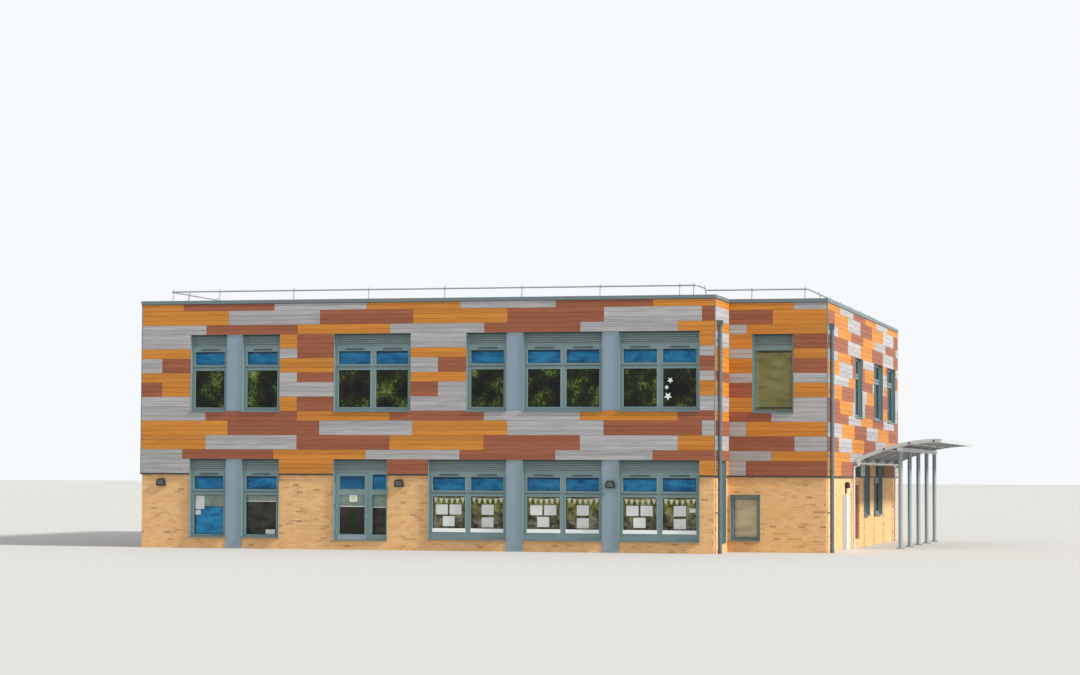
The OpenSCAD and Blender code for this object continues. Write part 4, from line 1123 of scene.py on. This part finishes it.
# Downpipes with a tapered hopper, joints and clips
HOPPER_TOP, HOPPER_H, PIPE_OFF, PIPE_D, PIPE_U = 7.020, 0.180, 0.040, 0.130, 0.250
HOPPER_WALL, HOPPER_BORE = 0.012, 0.120
JOINTS, JOINT_H, JOINT_OUT = (0.030, 2.45, 4.90), 0.090, 0.008
CLIP_N, CLIP_LOW, CLIP_H = 4, 1.200, 0.040


def downpipe(name, wall):
    """One pipe with its joints and clips, and a hopper that narrows downwards and is open at the top."""
    u, v = PIPE_U, -PIPE_OFF - PIPE_D / 2
    foot = HOPPER_TOP - HOPPER_H
    pipe = tube("pipe", [[Vector((u, v, 0.0)), Vector((u, v, foot))]], PIPE_D, 24)
    fittings = begin("fittings")
    for z in JOINTS:
        disc((u, v, z + JOINT_H / 2), PIPE_D / 2 + JOINT_OUT, JOINT_H, "z")
    block((u - PIPE_D * 0.7, -PIPE_OFF - PIPE_D * 1.15, foot), (u + PIPE_D * 0.7, 0, HOPPER_TOP))
    select(fittings, lambda f: abs(face_middle(f).z - foot) < 0.001 and len(f.verts) == 4)
    bpy.ops.transform.resize(value=(0.78, 0.85, 1), center_override=(u, v, foot))
    select(fittings, lambda f: abs(face_middle(f).z - HOPPER_TOP) < 0.001 and len(f.verts) == 4)
    bpy.ops.mesh.inset(thickness=HOPPER_WALL)
    bpy.ops.transform.translate(value=(0, 0, -HOPPER_BORE))
    for i in range(CLIP_N):
        z = CLIP_LOW + i * (foot - CLIP_LOW) / (CLIP_N - 0.75)
        block((u - PIPE_D * 0.6, v, z), (u + PIPE_D * 0.6, CLAD_T if z < BRICK_TOP else 0, z + CLIP_H))
    bpy.ops.object.mode_set(mode="OBJECT")
    ease(fittings, 0.003)
    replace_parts(join(name, [pipe, fittings], wall, PIPE_PAINT), "downpipes")


downpipe("downpipe_front", "return")
downpipe("downpipe_side", "side")


# Fittings on the walls
def wall_light(name, u, v):
    """Bulkhead light: a tapered housing with cut corners, and a lens in the sunk face inside its rim."""
    width, top_width, cut, foot, head, out = 0.300, 0.250, 0.045, 1.945, 2.175, 0.090
    rim, sunk, lens_gap, lens_out, lens_share = 0.026, 0.014, 0.004, 0.010, 0.90
    piece = begin(name)
    plate(u - width / 2, u + width / 2, foot, head, v)
    select(piece, lambda e: all(vertex.co.z > head - 0.001 for vertex in e.verts), "EDGE")
    bpy.ops.transform.resize(value=(top_width / width, 1, 1), center_override=(u, v, head))
    bpy.ops.mesh.bevel(offset=cut, affect="VERTICES")
    thicken(out)
    select(piece, lambda f: face_middle(f).y < v - out + 0.001)
    bpy.ops.mesh.inset(thickness=rim)
    bpy.ops.transform.translate(value=(0, sunk, 0))
    bpy.ops.mesh.inset(thickness=lens_gap)
    bpy.ops.mesh.extrude_region_move(TRANSFORM_OT_translate={"value": (0, -lens_out, 0)})
    bpy.ops.transform.resize(value=(lens_share, 1, lens_share), center_override=(u, v, (foot + head) / 2))
    piece.data.materials.append(DARK_METAL)
    piece.data.materials.append(LENS)
    piece.active_material_index = 1
    bpy.ops.object.material_slot_assign()
    finish(piece, "front", None, edge=0.002)
    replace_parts(piece, "wall_lights")


PIER_MIDDLE = (FRONT_GROUND[3][0] + FRONT_GROUND[3][1] + FRONT_GROUND[4][0]) / 2
wall_light("wall_light_left", round(FRONT_GROUND[0][0] * 0.42, 3), CLAD_T)
wall_light("wall_light_middle", CLASS_U + CLASS_W + 0.380, CLAD_T)
wall_light("wall_light_right", PIER_MIDDLE, 0.020)

CUPBOARD_U, CUPBOARD_W, CUPBOARD_TOP, CUPBOARD_V = 3.510, 0.620, 1.760, -0.096
LANTERN_U = CUPBOARD_U + CUPBOARD_W + 0.087


def lantern():
    """A domed hood, turned from a thin profile, over a ribbed diffuser on a back plate."""
    radius, foot, shoulder = 0.080, 1.965, 2.085
    axis = (LANTERN_U, CLAD_T - radius, 0)
    quarter = [math.radians(a) for a in range(0, 91, 9)]
    outline = [(radius, foot)] + [(radius * math.cos(a), shoulder + radius * math.sin(a)) for a in quarter]
    hood = begin("lantern_hood")
    mesh = bmesh.from_edit_mesh(hood.data)
    points = [mesh.verts.new((axis[0] + x, axis[1], z)) for x, z in outline]
    for a, b in zip(points, points[1:]):
        mesh.edges.new((a, b))
    bmesh.update_edit_mesh(hood.data)
    bpy.ops.mesh.select_mode(type="VERT")
    bpy.ops.mesh.select_all(action="SELECT")
    bpy.ops.mesh.spin(steps=32, angle=math.tau, center=axis, axis=(0, 0, 1))
    bpy.ops.mesh.select_all(action="SELECT")
    bpy.ops.mesh.remove_doubles(threshold=0.0005)
    bpy.ops.mesh.normals_make_consistent(inside=False)
    bpy.ops.object.mode_set(mode="OBJECT")
    wall = hood.modifiers.new("wall", "SOLIDIFY")
    wall.thickness = 0.003
    bpy.ops.object.modifier_apply(modifier="wall")
    finish(hood, "side", DARK_METAL, smooth=True)
    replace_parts(hood, "wall_lights")
    back = begin("lantern_back_plate")
    low, high, half_w, metal_t = 1.775, 2.140, 0.100, 0.015
    screw_in, screw_side, screw_r, screw_t = 0.025, 0.080, 0.008, 0.008
    block((LANTERN_U - half_w, CLAD_T - metal_t, low), (LANTERN_U + half_w, CLAD_T, high))
    for z in (low + screw_in, high - screw_in):
        for side in (-1, 1):
            disc((LANTERN_U + side * screw_side, CLAD_T - metal_t - 0.002, z), screw_r, screw_t, "v", 6)
    finish(back, "side", DARK_METAL, edge=0.003)
    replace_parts(back, "wall_lights")
    diffuser = begin("lantern_diffuser")
    opal_low, opal_h, opal_r = 1.800, 0.170, 0.058
    rib_n, rib_pitch, rib_h, rib_out = 5, 0.030, 0.010, 0.002
    disc((axis[0], axis[1], opal_low + opal_h / 2), opal_r, opal_h, "z")
    for i in range(rib_n):
        disc((axis[0], axis[1], opal_low + (i + 0.5) * rib_pitch), opal_r + rib_out, rib_h, "z")
    finish(diffuser, "side", OPAL, edge=0.003, smooth=True)
    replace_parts(diffuser, "wall_lights")


def cupboard_doors():
    """Two leaves with louvre slats, hinges and a lock on the front of the meter cupboard."""
    leaf_t, side, gap, foot, head = 0.016, 0.020, 0.003, 0.060, CUPBOARD_TOP - 0.030
    slat_n, first_slat, slat_pitch, slat_h, slat_in, slat_out = 6, 1.480, 0.030, 0.012, 0.050, 0.006
    hinge_r, hinge_h, lock_r, lock_t, lock_z = 0.009, 0.080, 0.018, 0.014, 0.950
    piece = begin("meter_cupboard_doors")
    start, end, v = CUPBOARD_U, CUPBOARD_U + CUPBOARD_W, CUPBOARD_V
    middle = (start + end) / 2
    for u0, u1 in ((start + side, middle - gap), (middle + gap, end - side)):
        block((u0, v - leaf_t, foot), (u1, v, head))
        for i in range(slat_n):
            z = first_slat + i * slat_pitch
            block((u0 + slat_in, v - leaf_t - slat_out, z), (u1 - slat_in, v - leaf_t + 0.002, z + slat_h))
    for z in (0.300, 1.450):
        for u in (start + 2 * hinge_r, end - 2 * hinge_r):
            disc((u, v - 0.012, z), hinge_r, hinge_h, "z", 16)
    disc((middle + 0.035, v - 0.020, lock_z), lock_r, lock_t, "v", 24)
    finish(piece, "side", WHITE_PLASTIC, edge=0.003)


def store_boards():
    """Upright boards on the store front, with a joint between its two doors, strap hinges and a bolt."""
    piece = begin("store_boards")
    count, board_t, groove, door_gap, margin = 10, 0.018, 0.002, 0.006, 0.010
    pitch, face = STORE_W / count, REVEAL - board_t
    for i in range(count):
        gap = door_gap if i == count // 2 else groove
        block((STORE_U + i * pitch + gap, face, FLOOR_Z + margin),
            (STORE_U + (i + 1) * pitch - groove, REVEAL, STORE_TOP - margin))
    finish(piece, "side", STAIN_RED, edge=0.003)
    straps = begin("store_strap_hinges")
    end, middle = STORE_U + STORE_W, STORE_U + STORE_W / 2
    reach, strap_t, strap_h = 0.470, 0.008, 0.040
    for z in (0.650, 1.700):
        for u0, u1 in ((STORE_U + margin, STORE_U + reach), (end - reach, end - margin)):
            block((u0, face - strap_t, z), (u1, face, z + strap_h))
    bolt_half, bolt_t, bolt_z = 0.090, 0.012, (1.150, 1.185)
    block((middle - bolt_half, face - bolt_t, bolt_z[0]), (middle + bolt_half, face, bolt_z[1]))
    finish(straps, "side", DARK_METAL, edge=0.003)


def slat_screen():
    """Upright slats over the boards behind the far part of the canopy."""
    piece = begin("slat_screen")
    first, last, pitch, slat_w, slat_t = 13.480, 16.600, 0.070, 0.045, 0.020
    rail_t, rail_h, rail_in = 0.022, 0.040, 0.070
    rail_v = -BOARD_T - rail_t
    for z in (BRICK_TOP + rail_in, HEAD_G - rail_in):
        block((first, rail_v, z), (last, -BOARD_T, z + rail_h))
    for i in range(int((last - first) / pitch)):
        u = first + i * pitch
        block((u, rail_v - slat_t, BRICK_TOP + 0.020), (u + slat_w, rail_v, HEAD_G - 0.005))
    finish(piece, "side", STAIN_SLAT, edge=0.002)


lantern()
cupboard_doors()
store_boards()
slat_screen()

# Doors: beads round the panes, a kick plate and a lock that swing with the leaf
LEAF_V, LEAF_H, STILE_W, FOOT_RAIL_H = REVEAL + 0.005, 2.100, 0.100, 0.180
LEAF_LOW = FLOOR_Z + LEAF_GAP
LEAF_TOP = LEAF_LOW + LEAF_H
LEAF_ROWS = [(LEAF_LOW + FOOT_RAIL_H, LOCK_RAIL[0]), (LOCK_RAIL[1], LEAF_TOP - STILE_W)]
BEAD_W, BEAD_OUT, BEAD_IN = 0.018, 0.007, 0.012
KICK_SIDE, KICK_IN, LOCK_Z = 0.030, 0.015, FLOOR_Z + 0.780


def door_details(body, wall, start, width, lock_u):
    """Beads round both panes of a leaf, a kick plate over its foot rail, and a lock with its cylinder."""
    panes = [(start + STILE_W, start + width - STILE_W, foot, head) for foot, head in LEAF_ROWS]
    rings(body + "_beads", wall, grown(panes, -BEAD_IN, -BEAD_IN, -BEAD_IN), BEAD_W, BEAD_OUT, FRAME_PAINT,
        LEAF_V, body, edge=0.002)
    kick = begin(body + "_kick_plate")
    block((start + KICK_SIDE, LEAF_V - 0.002, LEAF_LOW + KICK_IN),
        (start + width - KICK_SIDE, LEAF_V + 0.001, LEAF_LOW + FOOT_RAIL_H - KICK_IN))
    finish(kick, wall, POST_PAINT, body, edge=0.0008)
    lock = begin(body + "_lock")
    disc((lock_u, LEAF_V - 0.006, LOCK_Z), 0.026, 0.012, "v", 32)
    disc((lock_u, LEAF_V - 0.013, LOCK_Z), 0.012, 0.010, "v", 24)
    finish(lock, wall, STEEL, body, edge=0.001, smooth=True)


def door_card(start, width):
    """Green card in a white border, stuck on the pane of the classroom door and bare of words."""
    card_w, card_h = 0.244, 0.195
    middle, top = start + width / 2 + 0.030, LEAF_ROWS[0][1] - 0.020
    card = (middle - card_w / 2, middle + card_w / 2, top - card_h, top)
    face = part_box("class_door_glass")[0].y - WALLS["front"].translation.y
    card_t = 0.0008
    for name, border, out, material in (("white", 0.0, 0.0010, PAPER), ("green", 0.035, 0.0018, CARD_GREEN)):
        piece = begin("class_door_card_" + name)
        plate(*grown([card], -border, -border, -border)[0], face - out)
        thicken(card_t)
        finish(piece, "front", material, "class_door")


class_leaf_u, return_leaf_u = CLASS_U + JAMB + LEAF_GAP, RETURN_U + JAMB + LEAF_GAP
door_details("class_door", "front", class_leaf_u, CLASS_LEAF_W, class_leaf_u + CLASS_LEAF_W - STILE_W / 2)
door_card(class_leaf_u, CLASS_LEAF_W)
door_details("return_door", "return", return_leaf_u, RETURN_W - 2 * (JAMB + LEAF_GAP),
    return_leaf_u + STILE_W / 2)

# Canopy: glazing bars bent over the sheets, purlin caps, and nuts on the post feet
CANOPY_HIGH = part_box("canopy_sheets")[1]
CANOPY_W = CANOPY_HIGH.x - WALLS["side"].translation.x
CANOPY_V, SHEET_TOP, CANOPY_RISE = 0.060, CANOPY_HIGH.z, 0.670
RUN_W = CANOPY_W - CANOPY_V
ARC_R = (RUN_W ** 2 + CANOPY_RISE ** 2) / (2 * CANOPY_RISE)
# The purlins stand out 15 mm past the sheets at each end
PURLIN_OUT = 0.015
PURLIN_SHARES = (0.36, 0.65, 0.93)
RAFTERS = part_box("canopy_rafters")
CANOPY_U = RAFTERS[0].y + PURLIN_OUT - WALLS["side"].translation.y
CANOPY_L = RAFTERS[1].y - RAFTERS[0].y - 2 * PURLIN_OUT
POST_IN, POST_N, POST_OUT = 0.250, 5, 1.520
POST_PITCH = (CANOPY_L - 2 * POST_IN) / (POST_N - 1)


def sheet_height(out):
    """Top of the sheets at a distance from the wall."""
    return SHEET_TOP - ARC_R + math.sqrt(ARC_R ** 2 - (CANOPY_W - out) ** 2)


def glazing_bars():
    """Flat capped bars over the joints of the sheets, swept along the arc by a spin."""
    piece = begin("canopy_glazing_bars")
    bar_w, bar_h = 0.050, 0.010
    angle = math.asin(RUN_W / ARC_R)
    for i in range(2 * POST_N - 1):
        u = CANOPY_U + POST_IN + i * POST_PITCH / 2
        start = (u, -CANOPY_W, SHEET_TOP + bar_h / 2)
        bpy.ops.mesh.select_all(action="DESELECT")
        bpy.ops.mesh.primitive_plane_add(size=1, location=start, rotation=FACING_OUT)
        bpy.ops.transform.resize(value=(bar_w, 1, bar_h), center_override=start)
        bpy.ops.mesh.spin(steps=24, angle=angle, center=(u, -CANOPY_W, SHEET_TOP - ARC_R), axis=(1, 0, 0))
    bpy.ops.mesh.select_all(action="SELECT")
    bpy.ops.mesh.normals_make_consistent(inside=False)
    finish(piece, "side", RAFTER_PAINT)


def purlin_caps():
    """Dark plastic caps on the ends of the purlins."""
    cap_r, cap_t, cap_out, below_sheet = 0.034, 0.016, 0.012, 0.060
    piece = begin("canopy_purlin_caps")
    for share in PURLIN_SHARES:
        out = round(share * CANOPY_W, 3)
        for u in (CANOPY_U - cap_out, CANOPY_U + CANOPY_L + cap_out):
            disc((u, -out, sheet_height(out) - below_sheet), cap_r, cap_t, "u")
    finish(piece, "side", DARK_METAL, edge=0.003)


def post_nuts():
    """Four nuts on studs at the foot of each post."""
    piece = begin("canopy_post_nuts")
    corner, nut_r, nut_h, stud_r, stud_h = 0.105, 0.016, 0.020, 0.008, 0.034
    for i in range(POST_N):
        for a in (-corner, corner):
            for b in (-corner, corner):
                u, v = CANOPY_U + POST_IN + i * POST_PITCH + a, b - POST_OUT
                disc((u, v, 0.030), nut_r, nut_h, "z", 6)
                disc((u, v, 0.036), stud_r, stud_h, "z", 12)
    finish(piece, "side", STEEL, edge=0.001)


glazing_bars()
purlin_caps()
post_nuts()

# Floor, backdrop and light
bpy.ops.object.select_all(action="DESELECT")
bpy.ops.mesh.primitive_plane_add(size=1400, location=(0, 300, -0.002))
floor = bpy.context.object
floor.name = "floor"
floor.data.materials.append(surface(blank("pale_floor")[0], srgb("#c2c1bd"), 0.95))

world = bpy.data.worlds.new("studio")
bpy.context.scene.world = world
world.use_nodes = True
sky = world.node_tree
# The pale backdrop is seen directly, in reflections and through glass, while the light from it stays lower
SKY_LIGHT, SKY_SEEN = (0.65, 0.68, 0.72, 1.0), (0.93, 0.95, 0.97, 1.0)
ray = node(sky, "ShaderNodeLightPath").outputs
mirrored = node(sky, "ShaderNodeMath", {0: ray["Is Camera Ray"], 1: ray["Is Glossy Ray"]})
shown = node(sky, "ShaderNodeMath", {0: mirrored, 1: ray["Is Transmission Ray"]}, use_clamp=True)
seen = node(sky, "ShaderNodeMix", {"Factor": shown, 6: SKY_LIGHT, 7: SKY_SEEN}, data_type="RGBA")
feed(sky, sky.nodes["Background"], {"Color": seen.outputs[2], "Strength": 1.0})

sun_data = bpy.data.lights.new("key", "SUN")
sun_data.energy = 4.0
sun_data.angle = math.radians(6)
sun_data.color = (1.0, 0.965, 0.90)
sun = bpy.data.objects.new("key", sun_data)
bpy.context.scene.collection.objects.link(sun)
# The key light comes from the right, high up, and grazes the fronts
sun.rotation_euler = Vector((-0.92, 0.15, -0.66)).to_track_quat("-Z", "Y").to_euler()
